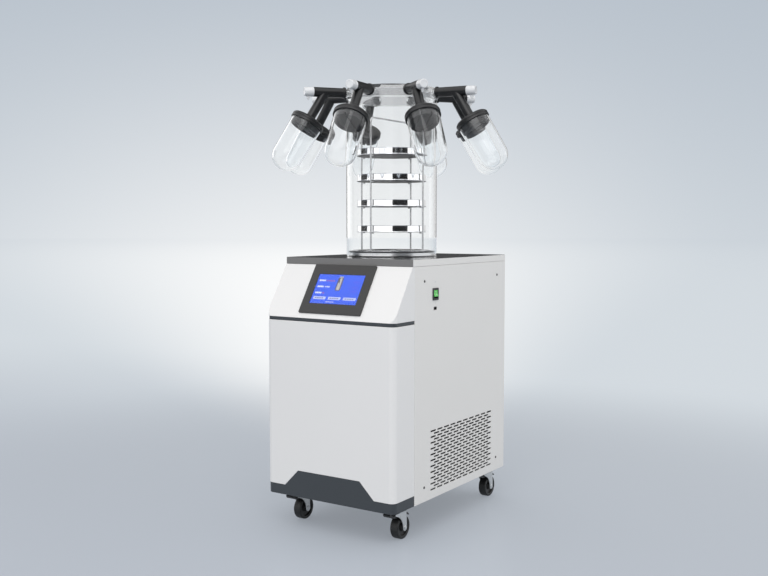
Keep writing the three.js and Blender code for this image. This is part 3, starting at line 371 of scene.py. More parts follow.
def piece(name, mesh, material, body="root", stands_for=()):
    """Adds a finished mesh as a piece that rides on a body and may stand for solids of the frame."""
    thing = linked(name, dressed(mesh, [material]) if material else mesh)
    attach(thing, body)
    if stands_for:
        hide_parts(*stands_for)


# The pan's black is painted shade: it darkens the cabinet's underside and what shows through the low slots.
pan_black_for_shade = finish("pan_black_painted_shade", (0.012, 0.012, 0.013), 0.5, grain=1300.0, depth=0.12, change=0.1)
dressed(frame["nodes"]["base_frame"].data, [pan_black_for_shade])


# Bolts of the castor plates: plain hexagon heads on washers, four under each plate, zinc plated. A tree of
# nodes puts one on every point that it is given, as another does for the screws of the panels further on.
BOLT_SPACE = 0.0225
BOLT_WIDTH, BOLT_HEIGHT = 0.0065, 0.0042
WASHER_HEIGHT = 0.001
PLATE_UNDERSIDE = 0.0905


def node_tree(name, **inputs):
    """An empty tree of geometry nodes that takes a geometry, named sizes and a material."""
    return group_of("GeometryNodeTree", name, {"Geometry": "Geometry", **inputs, "Material": "Material"},
                    {"Geometry": "Geometry"})


def close_tree(tree, sizes, end, geometry):
    """Realizes the instances, sets the material and joins the tree's output."""
    real = step(tree, "GeometryNodeRealizeInstances", Geometry=geometry)[0]
    whole = step(tree, "GeometryNodeSetMaterial", Geometry=real, Material=sizes["Material"])[0]
    tree.links.new(whole, end["Geometry"])
    return tree


def grown(tree, mesh, material, **values):
    """Runs a tree of geometry nodes on a mesh, with its inputs set by name."""
    values["Material"] = material
    return worked(mesh, ("NODES", {"node_group": tree}), sockets={
        socket.identifier: values[socket.name] for socket in tree.interface.items_tree
        if socket.in_out == "INPUT" and socket.name in values})


def joined(tree, kind, socket, parts, **inputs):
    """A node whose one socket takes several parts, in their order."""
    outputs = step(tree, kind, **inputs)
    for part in parts:
        tree.links.new(part, outputs[0].node.inputs[socket])
    return outputs[0]


def on_points(tree, sizes, end, instance, most_turn, seed):
    """Ends a tree in copies on its points, which face one way and are each turned at random."""
    points = step(tree, "GeometryNodeMeshToPoints", Mesh=sizes["Geometry"])[0]
    twist = step(tree, "FunctionNodeRandomValue", {"data_type": "FLOAT"}, i2=0.0, i3=most_turn, Seed=seed)[1]
    own, facing = (step(tree, "FunctionNodeEulerToRotation", Euler=angles)[0]
                   for angles in (step(tree, "ShaderNodeCombineXYZ", Z=twist)[0], sizes["Facing"]))
    both = step(tree, "FunctionNodeRotateRotation", {"rotation_space": "LOCAL"}, Rotation=facing,
                Rotate_By=own)[0]
    return close_tree(tree, sizes, end, step(tree, "GeometryNodeInstanceOnPoints", Points=points,
                                             Instance=instance, Rotation=both)[0])


def bolt_tree():
    tree, sizes, end = node_tree("hexagon_bolts", Across=0.013, Height=0.004, Facing=(0.0, 0.0, 0.0))
    head, washer = (
        step(tree, "GeometryNodeTransform", Translation=lift, Geometry=step(
            tree, "GeometryNodeMeshCylinder", Vertices=corners, Depth=depth,
            Radius=calc(tree, "MULTIPLY", sizes["Across"], share))[0])[0]
        for corners, share, depth, lift in (
            (6, 0.56, sizes["Height"],
             step(tree, "ShaderNodeCombineXYZ", Z=calc(tree, "MULTIPLY", sizes["Height"], 0.5))[0]),
            (24, 0.8, WASHER_HEIGHT, (0, 0, WASHER_HEIGHT / 2))))
    bolt = joined(tree, "GeometryNodeJoinGeometry", 0, (head, washer))
    return on_points(tree, sizes, end, bolt, 6.28, 4)


BOLTS = bolt_tree()
bolt_zinc = finish("bolt_zinc", (0.6, 0.6, 0.59), 0.3, grain=700.0, depth=0.12, change=0.2, Metallic=1.0)
PLACES = ("front_left", "front_right", "back_left", "back_right")
swivels = {place: Vector(joints["castor_swivel_" + place]["pos_m"]) for place in PLACES}
plate_bolts = drawn(
    (centre.x + side * BOLT_SPACE, centre.y + end * BOLT_SPACE, PLATE_UNDERSIDE)
    for centre in swivels.values() for side in (-1, 1) for end in (-1, 1))
piece("castor_plate_bolts", grown(BOLTS, plate_bolts, bolt_zinc, Across=BOLT_WIDTH * 2, Height=BOLT_HEIGHT,
                                  Facing=(pi, 0.0, 0.0)), None)


# ------------------------------------------------------------------ side panels
# Pans of bent sheet steel with a white powder coat, screwed to the frame at their corners. The right one
# has 21 rows of punched slots for the condenser's air, and the cut-outs for the switch and data socket.
gap = 0.0003  # the clearance between separate parts
CLEAR = 0.01  # how far a cutting block stands out past what it cuts
SHEET = 0.0015
RETURN = 0.012
PANEL_EDGE = 0.0011
right_low, right_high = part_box("side_panel_right")
HALF, BACK_Y = right_high.x, right_high.y
PAN_WALL_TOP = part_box("base_frame")[1].z
VENT_CENTRE_Y, VENT_CENTRE_Z = 0.048, 0.199
VENT_ROWS, VENT_COLUMNS = 21, 10
PUNCH_DEPTH = 0.005  # how far a punch reaches to each side of its middle
SWITCH = Vector(joints["rocker_tilt"]["pos_m"])
SOCKET_Z = SWITCH.z - 0.0385


def made(points, faces):
    """A mesh from points and faces, with doubles merged and its faces turned outwards."""
    return faced_out(drawn(points, faces=faces), 1e-6)


def block(low, high):
    """A plain box between two corners."""
    corners = [(x, y, z) for x in (low[0], high[0]) for y in (low[1], high[1]) for z in (low[2], high[2])]
    return made(corners, [(0, 1, 3, 2), (4, 6, 7, 5), (0, 4, 5, 1), (2, 3, 7, 6), (0, 2, 6, 4), (1, 5, 7, 3)])


def combined(mesh, kind, *tools):
    """A mesh after a boolean with each of some others: DIFFERENCE, UNION or INTERSECT."""
    for tool in tools:
        cutter = linked("cutter", tool)
        mesh = worked(mesh, ("BOOLEAN", {"operation": kind, "object": cutter, "solver": "EXACT"}))
        bpy.data.objects.remove(cutter)
    return mesh


def slot_tree():
    """Rows of round-ended slots, punched through the mesh that it is given. Odd rows may be staggered."""
    tree, sizes, end = node_tree(
        "punched_slots", Centre=(0.0, 0.0, 0.0), Along=(0.0, 0.036, 0.0), Up=(0.0, 0.0, 0.008), Rows=21,
        Columns=10, Stagger=1.0, Length=0.029, Height=0.0047, Facing=(0.0, 0.0, 0.0))
    rows, columns, height = sizes["Rows"], sizes["Columns"], sizes["Height"]
    math, vectors = partial(calc, tree), partial(step, tree, "ShaderNodeVectorMath")
    index = step(tree, "GeometryNodeInputIndex")[0]
    row = math("FLOOR", math("DIVIDE", index, columns))
    column = math("SUBTRACT", index, math("MULTIPLY", row, columns))
    odd = math("MULTIPLY", math("MODULO", row, 2.0), sizes["Stagger"])
    middle = math("MULTIPLY", math("SUBTRACT", math("SUBTRACT", columns, 1.0), odd), 0.5)
    across = math("SUBTRACT", column, middle)
    rise = math("SUBTRACT", row, math("MULTIPLY", math("SUBTRACT", rows, 1.0), 0.5))
    along, up = (vectors({"operation": "SCALE"}, i0=way, Scale=amount)[0]
                 for way, amount in ((sizes["Along"], across), (sizes["Up"], rise)))
    place = vectors({"operation": "ADD"}, i0=along, i1=up)[0]
    place = vectors({"operation": "ADD"}, i0=place, i1=sizes["Centre"])[0]
    points = step(tree, "GeometryNodePoints", Count=math("MULTIPLY", rows, columns), Position=place)[0]
    spare = math("MULTIPLY", odd, math("GREATER_THAN", math("SUBTRACT", across, middle), 0.5))
    points = step(tree, "GeometryNodeDeleteGeometry", {"domain": "POINT"}, Geometry=points,
                  Selection=spare)[0]
    edge = step(tree, "GeometryNodeCurvePrimitiveQuadrilateral", {"mode": "RECTANGLE"}, Width=sizes["Length"],
                Height=height)[0]
    edge = step(tree, "GeometryNodeFilletCurve", {"mode": "POLY"}, Curve=edge, Count=4,
                Radius=math("MULTIPLY", height, 0.499))[0]
    face = step(tree, "GeometryNodeFillCurve", {"mode": "NGONS"}, Curve=edge)[0]
    wall = step(tree, "GeometryNodeExtrudeMesh", {"mode": "FACES"}, Mesh=face, Offset=(0.0, 0.0, 1.0),
                Offset_Scale=2 * PUNCH_DEPTH, Individual=False)[0]
    back = step(tree, "GeometryNodeFlipFaces", Mesh=face)[0]
    punch = joined(tree, "GeometryNodeJoinGeometry", 0, (wall, back))
    punch = step(tree, "GeometryNodeMergeByDistance", Geometry=punch, Distance=1e-6)[0]
    punch = step(tree, "GeometryNodeTransform", Geometry=punch, Translation=(0.0, 0.0, -PUNCH_DEPTH))[0]
    punches = step(tree, "GeometryNodeInstanceOnPoints", Points=points, Instance=punch,
                   Rotation=sizes["Facing"])[0]
    punches = step(tree, "GeometryNodeRealizeInstances", Geometry=punches)[0]
    return close_tree(tree, sizes, end, joined(
        tree, "GeometryNodeMeshBoolean", "Mesh 2", (punches,), Mesh_1=sizes["Geometry"],
        settings={"operation": "DIFFERENCE", "solver": "EXACT"}))


SLOTS = slot_tree()
white_steel = finish("white_powder_coat", (0.79, 0.775, 0.745), 0.36, grain=1400.0, depth=0.09, change=0.02,
                     gloss_change=0.08, Coat_Weight=0.15, Coat_Roughness=0.3)


def side_pan(low, high):
    """The pan for the +X side: a bevelled block, hollowed so that its edges stay folded in."""
    fold = high.x - SHEET - RETURN
    mesh = worked(block((fold, low.y, low.z), high), rounded(PANEL_EDGE, 3))
    back, start = high.y - 2 * SHEET - gap, fold - CLEAR
    hollow = block((start, low.y + SHEET, low.z - CLEAR), (high.x - SHEET, back - SHEET, high.z - SHEET))
    behind = block((start, back, low.z - CLEAR), (high.x - SHEET, high.y + CLEAR, high.z + CLEAR))
    below = block((start, low.y - CLEAR, low.z - CLEAR), (high.x - SHEET, high.y + CLEAR, PAN_WALL_TOP + gap))
    return combined(mesh, "DIFFERENCE", hollow, behind, below)


side = side_pan(right_low, right_high)
left_side = side.copy()
left_side.transform(Matrix.Scale(-1, 4, (1, 0, 0)))
left_side.flip_normals()
piece("left_side_panel", shaded(left_side), white_steel, stands_for=["side_panel_left"])


def window(y, z, width, height):
    """A punch for a rectangular hole in the right side."""
    return block((HALF - CLEAR, y - width / 2, z - height / 2), (HALF + CLEAR, y + width / 2, z + height / 2))


side = combined(side, "DIFFERENCE", window(SWITCH.y, SWITCH.z, 0.026, 0.029),
                window(SWITCH.y, SOCKET_Z, 0.016, 0.009))
right_side = grown(SLOTS, side, white_steel, Centre=(HALF, VENT_CENTRE_Y, VENT_CENTRE_Z), Rows=VENT_ROWS,
                   Columns=VENT_COLUMNS, Facing=(pi / 2, 0.0, pi / 2))
piece("right_side_panel", shaded(right_side), white_steel, stands_for=["side_panel_right"])

# A black sheet stands just behind the slots as painted shade, so that the slots look dark from outside.
vent_shade_black = finish("vent_painted_shade", (0.012, 0.012, 0.012), 0.9, grain=700.0, depth=0.6, change=0.3)
SHADE_SHEET_WIDTH, SHADE_SHEET_RISE, SHADE_SHEET_THICKNESS = 0.30, 0.12, 0.0022
SHADE_SHEET_FACE = HALF - SHEET - 0.0004
shade_sheet = block((SHADE_SHEET_FACE - SHADE_SHEET_THICKNESS, VENT_CENTRE_Y - SHADE_SHEET_WIDTH / 2, PAN_WALL_TOP + 0.001),
            (SHADE_SHEET_FACE, VENT_CENTRE_Y + SHADE_SHEET_WIDTH / 2, VENT_CENTRE_Z + SHADE_SHEET_RISE))
piece("vent_shade_sheet", shade_sheet, vent_shade_black)

# Cross-recessed pan-head screws, blackened, hold the side panels to the frame and the rear panel to both.
SCREW_RADIUS, SCREW_HEIGHT = 0.0036, 0.0019
SCREW_INSET = (0.048, 0.054)  # of the side panels' screws from their front and back edges
SCREW_LIFT = 0.0395  # from the top and bottom edges


def screw_tree():
    tree, sizes, end = node_tree("pan_head_screws", Radius=0.004, Height=0.002, Facing=(0.0, 0.0, 0.0))
    math = partial(calc, tree, "MULTIPLY")

    def vector(x, y, z):
        return step(tree, "ShaderNodeCombineXYZ", X=x, Y=y, Z=z)[0]

    radius, height = sizes["Radius"], sizes["Height"]
    ball = step(tree, "GeometryNodeMeshUVSphere", Segments=20, Rings=10, Radius=1.0)[0]
    dome = step(tree, "GeometryNodeTransform", Geometry=ball, Scale=vector(radius, radius, height))[0]
    long, thin, deep = math(radius, 1.05), math(radius, 0.2), math(height, 1.1)
    bars = [step(tree, "GeometryNodeTransform", Translation=vector(0.0, 0.0, height),
                 Geometry=step(tree, "GeometryNodeMeshCube", Size=size)[0])[0]
            for size in (vector(long, thin, deep), vector(thin, long, deep))]
    screw = joined(tree, "GeometryNodeMeshBoolean", "Mesh 2", bars, Mesh_1=dome,
                   settings={"operation": "DIFFERENCE", "solver": "EXACT"})
    return on_points(tree, sizes, end, screw, 1.57, 9)


def screwed(name, places, facing):
    """Adds a panel's screws, at their places on its face."""
    screws = grown(SCREWS, drawn(places), screw_steel, Radius=SCREW_RADIUS, Height=SCREW_HEIGHT,
                   Facing=facing)
    piece(name, shaded(screws, 50), None)


SCREWS = screw_tree()
screw_steel = finish("black_oxide_screw", (0.035, 0.034, 0.033), 0.42, grain=900.0, depth=0.1, change=0.15)
for name, sign in (("left_panel_screws", -1), ("right_panel_screws", 1)):
    screwed(name, [(sign * HALF, y, z) for y in (right_low.y + SCREW_INSET[0], BACK_Y - SCREW_INSET[1])
                   for z in (right_low.z + SCREW_LIFT, right_high.z - SCREW_LIFT)], (0.0, sign * pi / 2, 0.0))


# ------------------------------------------------------------------ rear panel
# A flat sheet with the same white coat, let in between the side panels. It has two columns of punched
# slots for warm air, a hole for the vacuum line and a cut-out for the mains inlet.
REAR_SLOT_Z = 0.3265  # middle of the six rows
LINE_Z, LINE_HOLE = 0.64, 0.015
INLET_RIM = 0.003  # how far the inlet's flange covers the sheet round its hole
rear_low, rear_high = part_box("rear_panel")
inlet_low, inlet_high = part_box("mains_inlet")


def turned(profile, segments=96):
    """A profile of (radius, height) points turned about Z. It closes on itself unless it ends on the axis."""
    closed = profile[0][0] > 1e-6 or profile[-1][0] > 1e-6
    count = len(profile)
    points = [(radius * cos(2 * pi * i / segments), radius * sin(2 * pi * i / segments), height)
              for radius, height in profile for i in range(segments)]
    rings = [(ring * segments, (ring + 1) % count * segments)
             for ring in range(count if closed else count - 1)]
    return made(points, [(this + i, this + (i + 1) % segments, other + (i + 1) % segments, other + i)
                         for this, other in rings for i in range(segments)])


def rod(radius, low, high, segments=32, edge=0.0):
    """A cylinder along Z, with its two rims chamfered when an edge is given."""
    rims = [(radius - edge, low), (radius, low + edge), (radius, high - edge), (radius - edge, high)]
    return turned([(0, low)] + (rims if edge else [(radius, low), (radius, high)]) + [(0, high)], segments)


TO_X = Matrix.Rotation(pi / 2, 4, "Y")  # turns a shape drawn along +Z to run along +X
TO_Y = Matrix.Rotation(-pi / 2, 4, "X")  # the same, to run along +Y


def moved(mesh, *steps):
    """Moves a mesh by matrices or offsets, first to last, and returns it."""
    for place in steps:
        mesh.transform(place if isinstance(place, Matrix) else Matrix.Translation(place))
    return mesh


line_hole = moved(rod(LINE_HOLE, -CLEAR, CLEAR, 48), TO_Y, (0, BACK_Y, LINE_Z))
inlet_hole = block((inlet_low.x + INLET_RIM, BACK_Y - CLEAR, inlet_low.z + INLET_RIM),
                   (inlet_high.x - INLET_RIM, BACK_Y + CLEAR, inlet_high.z - INLET_RIM))
rear = combined(worked(block(rear_low, rear_high), rounded(0.0004)), "DIFFERENCE", line_hole, inlet_hole)
rear = grown(SLOTS, rear, white_steel, Centre=(0.0, BACK_Y, REAR_SLOT_Z), Along=(0.15, 0.0, 0.0),
             Up=(0.0, 0.0, 0.014), Rows=6, Columns=2, Stagger=0.0, Length=0.12, Height=0.005,
             Facing=(pi / 2, 0.0, 0.0))
piece("back_panel", shaded(rear), None, stands_for=["rear_panel"])
screwed("back_panel_screws", [(x, BACK_Y, z) for x in (-0.198, 0.198) for z in (0.115, 0.41, 0.705)],
        (-pi / 2, 0.0, 0.0))


# ------------------------------------------------------------------ top deck
# The cabinet's lid, a shallow pan of steel turned upside down. Its face has a hard dark gloss coat that
# mirrors the chamber, its front lip is grey, and its sides are white like the panels below them.
DECK_EDGE = 0.0012
deck_low, deck_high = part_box("top_deck")
DECK_Z, LIP_Z, LIP_FRONT_Y = deck_high.z, deck_low.z, deck_low.y
trap_low, trap_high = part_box("cold_trap")
MOUTH = 0.1063  # radius of the hole for the cold trap

deck_gloss = finish("dark_deck_gloss", (0.030, 0.032, 0.034), 0.13, grain=60.0, depth=0.008, change=0.05,
                    gloss_change=0.04)
lip_grey = finish("grey_deck_lip", (0.178, 0.175, 0.170), 0.35, grain=900.0, depth=0.06, change=0.04)
deck = worked(block(deck_low, deck_high), rounded(DECK_EDGE, 3))
deck = combined(
    deck, "DIFFERENCE",
    block((deck_low.x + SHEET, deck_low.y + SHEET, deck_low.z - 0.01),
          (deck_high.x - SHEET, deck_high.y - SHEET, deck_high.z - SHEET)),
    moved(rod(MOUTH, -0.02, 0.02, 96), (0, 0, DECK_Z)),
)
deck = dressed(deck, (deck_gloss, white_steel, lip_grey), lambda face: (
    0 if face.normal.z >= 0.6 else 2 if face.center.y < deck_low.y + 0.001 else 1))
piece("deck_plate", shaded(deck), None, stands_for=["top_deck"])


# ------------------------------------------------------------------ front cover and kick plate
# Hollow mouldings that wrap round the front: a tall white door over a slate-grey kick plate with a raised
# middle, and a slate band above. Their upright corners are rounded and their rims are eased.
MOULD = 0.0025
FRONT_CORNER = 0.018
JOINT_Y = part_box("front_cover")[1].y
FRONT_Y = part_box("front_cover")[0].y
ARCH_HALF, ARCH_RISE = 0.102, 0.045 + gap  # half of the raised middle's flat top, and its height
KICK_INSET, BAND_INSET = 0.001, 0.0015


def plan_columns(inset, breaks):
    """Points round the front seen from above, from the right to the left, with their outward directions."""
    corner_x, corner_y = HALF - FRONT_CORNER, FRONT_Y + FRONT_CORNER
    columns = [((HALF - inset, JOINT_Y), (1, 0))]
    for centre, first in ((corner_x, 0), (-corner_x, -90)):
        for k in range(13):
            angle = radians(first - 7.5 * k)
            reach, out = FRONT_CORNER - inset, (cos(angle), sin(angle))
            columns.append(((centre + reach * out[0], corner_y + reach * out[1]), out))
        if first == 0:
            columns += [((x, FRONT_Y + inset), (0, -1)) for x in sorted(breaks, reverse=True)]
    return columns + [((-HALF + inset, JOINT_Y), (-1, 0))]


def moulding(inset, low, high, breaks=(), edge=0.0009):
    """A wall round the front. Its foot and head are heights, or functions of x."""
    points, faces = [], []
    columns = plan_columns(inset, breaks)
    for (x, y), (nx, ny) in columns:
        foot, head = (value(x) if callable(value) else value for value in (low, high))
        inner = (x - nx * MOULD, y - ny * MOULD)
        points += [(x, y, foot), (x, y, head), (*inner, head), (*inner, foot)]
    for i in range(len(columns) - 1):
        a, b = 4 * i, 4 * i + 4
        faces += [(a + k, b + k, b + (k + 1) % 4, a + (k + 1) % 4) for k in range(4)]
    last = 4 * len(columns) - 4
    faces += [(0, 1, 2, 3), (last, last + 3, last + 2, last + 1)]
    return worked(made(points, faces), rounded(edge, 3))


def arch(base):
    """Heights of an edge that climbs at 45 degrees to a raised middle."""
    return lambda x: max(base, base + ARCH_RISE - max(0, abs(x) - ARCH_HALF))


white_moulding = finish("white_moulding", (0.812, 0.803, 0.787), 0.3, grain=1100.0, depth=0.05, change=0.015,
                        gloss_change=0.06, Coat_Weight=0.3, Coat_Roughness=0.2)
slate = finish("slate_moulding", (0.036, 0.043, 0.050), 0.42, grain=1500.0, depth=0.16, change=0.08,
               gloss_change=0.1)
cover_low, cover_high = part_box("front_cover")
kick_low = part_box("kick_plate")[0]
band_low, band_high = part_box("trim_band")
breaks = [sign * reach for sign in (-1, 1) for reach in (ARCH_HALF, ARCH_HALF + ARCH_RISE)]
piece("door_cover", shaded(moulding(0, arch(cover_low.z), cover_high.z, breaks, 0.0016)),
      white_moulding, stands_for=["front_cover"])
piece("kick_moulding", shaded(moulding(KICK_INSET, kick_low.z, arch(cover_low.z - gap), breaks)),
      slate, stands_for=["kick_plate"])
piece("slate_band", shaded(moulding(BAND_INSET, band_low.z, band_high.z)),
      slate, stands_for=["trim_band"])


# ------------------------------------------------------------------ control fascia
# The sloping top of the moulded front, in the same white. Its face runs from the deck's lip down to the
# slate band, its edges roll over into the sides, and it has an opening for the display.
FASCIA_CREASE = 0.0016
FASCIA_NOSE = 0.001  # height of the upright edge that the slope ends on
fascia_low, fascia_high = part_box("control_fascia")
SLOPE_RISE, SLOPE_RUN = LIP_Z - fascia_low.z, LIP_FRONT_Y - FRONT_Y
SLOPE_ANGLE = atan2(SLOPE_RISE, SLOPE_RUN)
# Places a shape drawn on the slope: X across, Y up the slope, Z out of it, from the slope's top edge.
ON_SLOPE = Matrix.Translation((0, LIP_FRONT_Y, LIP_Z)) @ Matrix.Rotation(SLOPE_ANGLE, 4, "X")


def outline_block(outline, low, high):
    """An outline in X and Y, pushed up from one height to another."""
    count = len(outline)
    walls = [(i, (i + 1) % count, count + (i + 1) % count, count + i) for i in range(count)]
    ends = [tuple(range(count)), tuple(range(2 * count - 1, count - 1, -1))]
    return made([(x, y, z) for z in (low, high) for x, y in outline], walls + ends)


def rounded_outline(width, length, radius, middle, steps):
    """A rectangle with round corners."""
    outline = []
    for k, (sx, sy) in enumerate(((1, 1), (-1, 1), (-1, -1), (1, -1))):
        centre = (middle[0] + sx * (width / 2 - radius), middle[1] + sy * (length / 2 - radius))
        for i in range(steps + 1):
            angle = pi / 2 * (k + i / steps)
            outline.append((centre[0] + radius * cos(angle), centre[1] + radius * sin(angle)))
    return outline


def plate(size, low, high, radius, middle=(0, 0), steps=6):
    """A flat block with round corners."""
    return outline_block(rounded_outline(*size, radius, middle, steps), low, high)


glass_low, glass_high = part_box("screen_glass")
GLASS_WIDTH = glass_high.x - glass_low.x
GLASS_LENGTH = 0.090
SCREEN_MIDDLE = -0.077  # of the bezel and the display, along the slope
BEZEL_REBATE = 0.006


def screen_block(more, corner, low, high):
    """A block round the display's middle, larger all over than the display by a length."""
    return plate((GLASS_WIDTH + more, GLASS_LENGTH + more), low, high, corner, (0, SCREEN_MIDDLE))


def fascia_block(inset, low, high, back):
    """The fascia's form, set in by a distance: the front's plan pushed up and cut off along the slope."""
    plan = [point for point, _ in plan_columns(inset, ())]
    plan[0], plan[-1] = (plan[0][0], back), (plan[-1][0], back)
    mesh = outline_block(plan, low, high)
    outward = Vector((0, -sin(SLOPE_ANGLE), cos(SLOPE_ANGLE)))
    nose = Vector((0, FRONT_Y, fascia_low.z + FASCIA_NOSE))
    bm = bmesh.new()
    bm.from_mesh(mesh)
    cut = bmesh.ops.bisect_plane(bm, geom=bm.verts[:] + bm.edges[:] + bm.faces[:], dist=1e-6,
                                 plane_co=nose - outward * inset, plane_no=outward, clear_outer=True)
    rim = [edge for edge in cut["geom_cut"] if isinstance(edge, bmesh.types.BMEdge)]
    bmesh.ops.edgeloop_fill(bm, edges=rim)
    bmesh.ops.recalc_face_normals(bm, faces=bm.faces)
    bm.to_mesh(mesh)
    bm.free()
    return mesh


outer = worked(fascia_block(0, fascia_low.z, fascia_high.z, JOINT_Y),
               rounded(FASCIA_CREASE, 4, 25))
inner = fascia_block(MOULD, fascia_low.z - 0.009, fascia_high.z + 0.009, JOINT_Y + 0.009)
opening = moved(screen_block(2 * BEZEL_REBATE, 0.003, -0.02, 0.02), ON_SLOPE)
fascia = combined(outer, "DIFFERENCE", inner, opening)
piece("sloping_fascia", shaded(fascia, 28), white_moulding, stands_for=["control_fascia"])


# ------------------------------------------------------------------ display
# A touch display in a charcoal bezel that is clipped into the fascia. The bezel is one moulding with eased
# edges, the display shows a blue page with generic fields and keys, and a clear sheet covers it.
BEZEL_CORNER = 0.003
SCREEN_WIDTH, SCREEN_LENGTH, SCREEN_PROUD = 0.203, 0.150, 0.005
COVER_THICKNESS = 0.0007
GLASS_TOP = SCREEN_PROUD - 0.001
charcoal = finish("charcoal_moulding", (0.034, 0.033, 0.032), 0.42, grain=1500.0, depth=0.12, change=0.05,
                  Specular_IOR_Level=0.35)

bezel = worked(plate((SCREEN_WIDTH, SCREEN_LENGTH), gap, SCREEN_PROUD, BEZEL_CORNER, (0, SCREEN_MIDDLE)),
               rounded(0.0009, 3))
rebate = screen_block(2 * (BEZEL_REBATE - gap), 0.0025, -0.006, 0.0009)
seat = screen_block(2 * gap, 0.0012, GLASS_TOP - 0.0023, 0.02)
behind = screen_block(-0.008, 0.001, -0.02, 0.02)
bezel = combined(combined(bezel, "UNION", rebate), "DIFFERENCE", seat, behind)
piece("display_bezel", shaded(moved(bezel, ON_SLOPE)), charcoal,
      stands_for=["screen_bezel"])


def glowing(name, tone):
    """A lit part of the display's page, a little uneven like a backlight."""
    material = new_material(name, Base_Color=(*(value * 0.15 for value in tone), 1), Roughness=0.3,
                            Specular_IOR_Level=0, Emission_Strength=1.0)
    tree = material.node_tree
    spread = step(tree, "ShaderNodeTexNoise", Vector=step(tree, "ShaderNodeTexCoord")["Object"], Scale=14)
    dark = (*(value * 0.86 for value in tone), 1)
    tree.links.new(mixed(tree, spread["Fac"], dark, (*tone, 1)),
                   tree.nodes["Principled BSDF"].inputs["Emission Color"])
    return material


def light_through(material, tone=(1, 1, 1)):
    """Lets lamps through clear material, so that what is behind it is lit as well as seen."""
    tree = material.node_tree
    open_air = step(tree, "ShaderNodeBsdfTransparent", Color=(*tone, 1))[0]
    blended(tree, step(tree, "ShaderNodeLightPath")["Is Shadow Ray"], open_air)
    return material


panel_blue = glowing("page_blue", (0.036, 0.118, 0.85))
page_pale = glowing("page_pale", (0.50, 0.56, 0.90))
page_white = glowing("page_white", (0.80, 0.84, 0.97))
page_mauve = glowing("page_mauve", (0.13, 0.085, 0.74))
page_red = glowing("page_red", (0.36, 0.11, 0.42))
page_grey = glowing("page_grey", (0.16, 0.20, 0.45))
page_stone = glowing("page_stone", (0.50, 0.48, 0.47))
page_dark = glowing("page_dark", (0.10, 0.085, 0.12))
cover_glass = light_through(finish(
    "display_cover", (1.0, 1.0, 1.0), 0.04, grain=40.0, depth=0.005, change=0.0, gloss_change=0.02,
    Transmission_Weight=1.0, IOR=1.3))

page_top = GLASS_TOP - COVER_THICKNESS - 0.0003
panel = screen_block(0, 0.001, GLASS_TOP - 0.002, page_top)
piece("display_page", moved(panel, ON_SLOPE), panel_blue, stands_for=["screen_glass"])
cover = worked(screen_block(0, 0.001, GLASS_TOP - COVER_THICKNESS, GLASS_TOP), rounded(0.0002))
piece("display_cover", shaded(moved(cover, ON_SLOPE)), cover_glass, stands_for=["screen_glass"])


def together(meshes):
    """One mesh out of several."""
    bm = bmesh.new()
    for mesh in meshes:
        bm.from_mesh(mesh)
    result = bpy.data.meshes.new("mesh")
    bm.to_mesh(result)
    bm.free()
    return result


def page_marks(name, material, marks):
    """Flat plates on the page, each given as left, bottom, width and height in shares of the page."""
    bars = []
    for left, bottom, width, height in marks:
        middle = ((left + width / 2 - 0.5) * GLASS_WIDTH,
                  SCREEN_MIDDLE + (bottom + height / 2 - 0.5) * GLASS_LENGTH)
        size = (width * GLASS_WIDTH, height * GLASS_LENGTH)
        bars.append(plate(size, page_top, page_top + 0.0001, 0.2 * min(size), middle, 3))
    piece(name, moved(together(bars), ON_SLOPE), material)


def bars_from(left, bottom, count, width, height, apart):
    """A row of equal bars."""
    return [(left + apart * k, bottom, width, height) for k in range(count)]


page_marks("page_field_names", page_white, [
    bar for row in (0.76, 0.55, 0.34) for bar in bars_from(0.045, row, 4, 0.028, 0.055, 0.035)])
page_marks("page_field_values", page_red, bars_from(0.20, 0.765, 4, 0.035, 0.035, 0.05) + [
    (0.20, 0.345, 0.04, 0.035)])
page_marks("page_figures", page_white, bars_from(0.215, 0.555, 3, 0.022, 0.045, 0.035))
page_marks("page_capsule_shade", page_dark, [(0.445, 0.46, 0.11, 0.44)])
page_marks("page_capsule", page_stone, [(0.465, 0.48, 0.07, 0.40), (0.46, 0.90, 0.08, 0.035)])
page_marks("page_readings", page_mauve, [
    bar for row in (0.74, 0.56, 0.43) for bar in bars_from(0.79, row, 3, 0.035, 0.035, 0.05)])
page_marks("page_keys", page_pale, bars_from(0.04, 0.145, 3, 0.27, 0.095, 0.325))
page_marks("page_key_names", page_grey, [
    bar for k in range(3) for bar in bars_from(0.075 + 0.325 * k, 0.175, 4, 0.035, 0.035, 0.05)])
page_marks("page_footer", page_pale, bars_from(0.34, 0.055, 4, 0.035, 0.03, 0.045))


# ------------------------------------------------------------------ power switch and data socket
# A snap-in rocker switch: a black frame with a deep bay and a green rocker that rests with its lower half
# out, marked with the usual line and ring. Below it is a small metal-shelled socket for a data plug.
ROCKER_TILT = 11
SWITCH_HALF = Vector((0.015, 0.0165))  # half of the frame's width and height
FRAME_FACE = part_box("switch_frame")[1].x
black_plastic = finish("black_plastic", (0.018, 0.018, 0.019), 0.38, grain=1600.0, depth=0.12, change=0.08)
green_plastic = finish("green_plastic", (0.095, 0.60, 0.085), 0.22, grain=500.0, depth=0.03, change=0.05,
                       Coat_Weight=0.3)
mark_white = finish("white_marking", (0.8, 0.82, 0.8), 0.4, grain=900.0, depth=0.05)
grey_mark = finish("grey_marking", (0.42, 0.43, 0.44), 0.5, grain=900.0, depth=0.05)

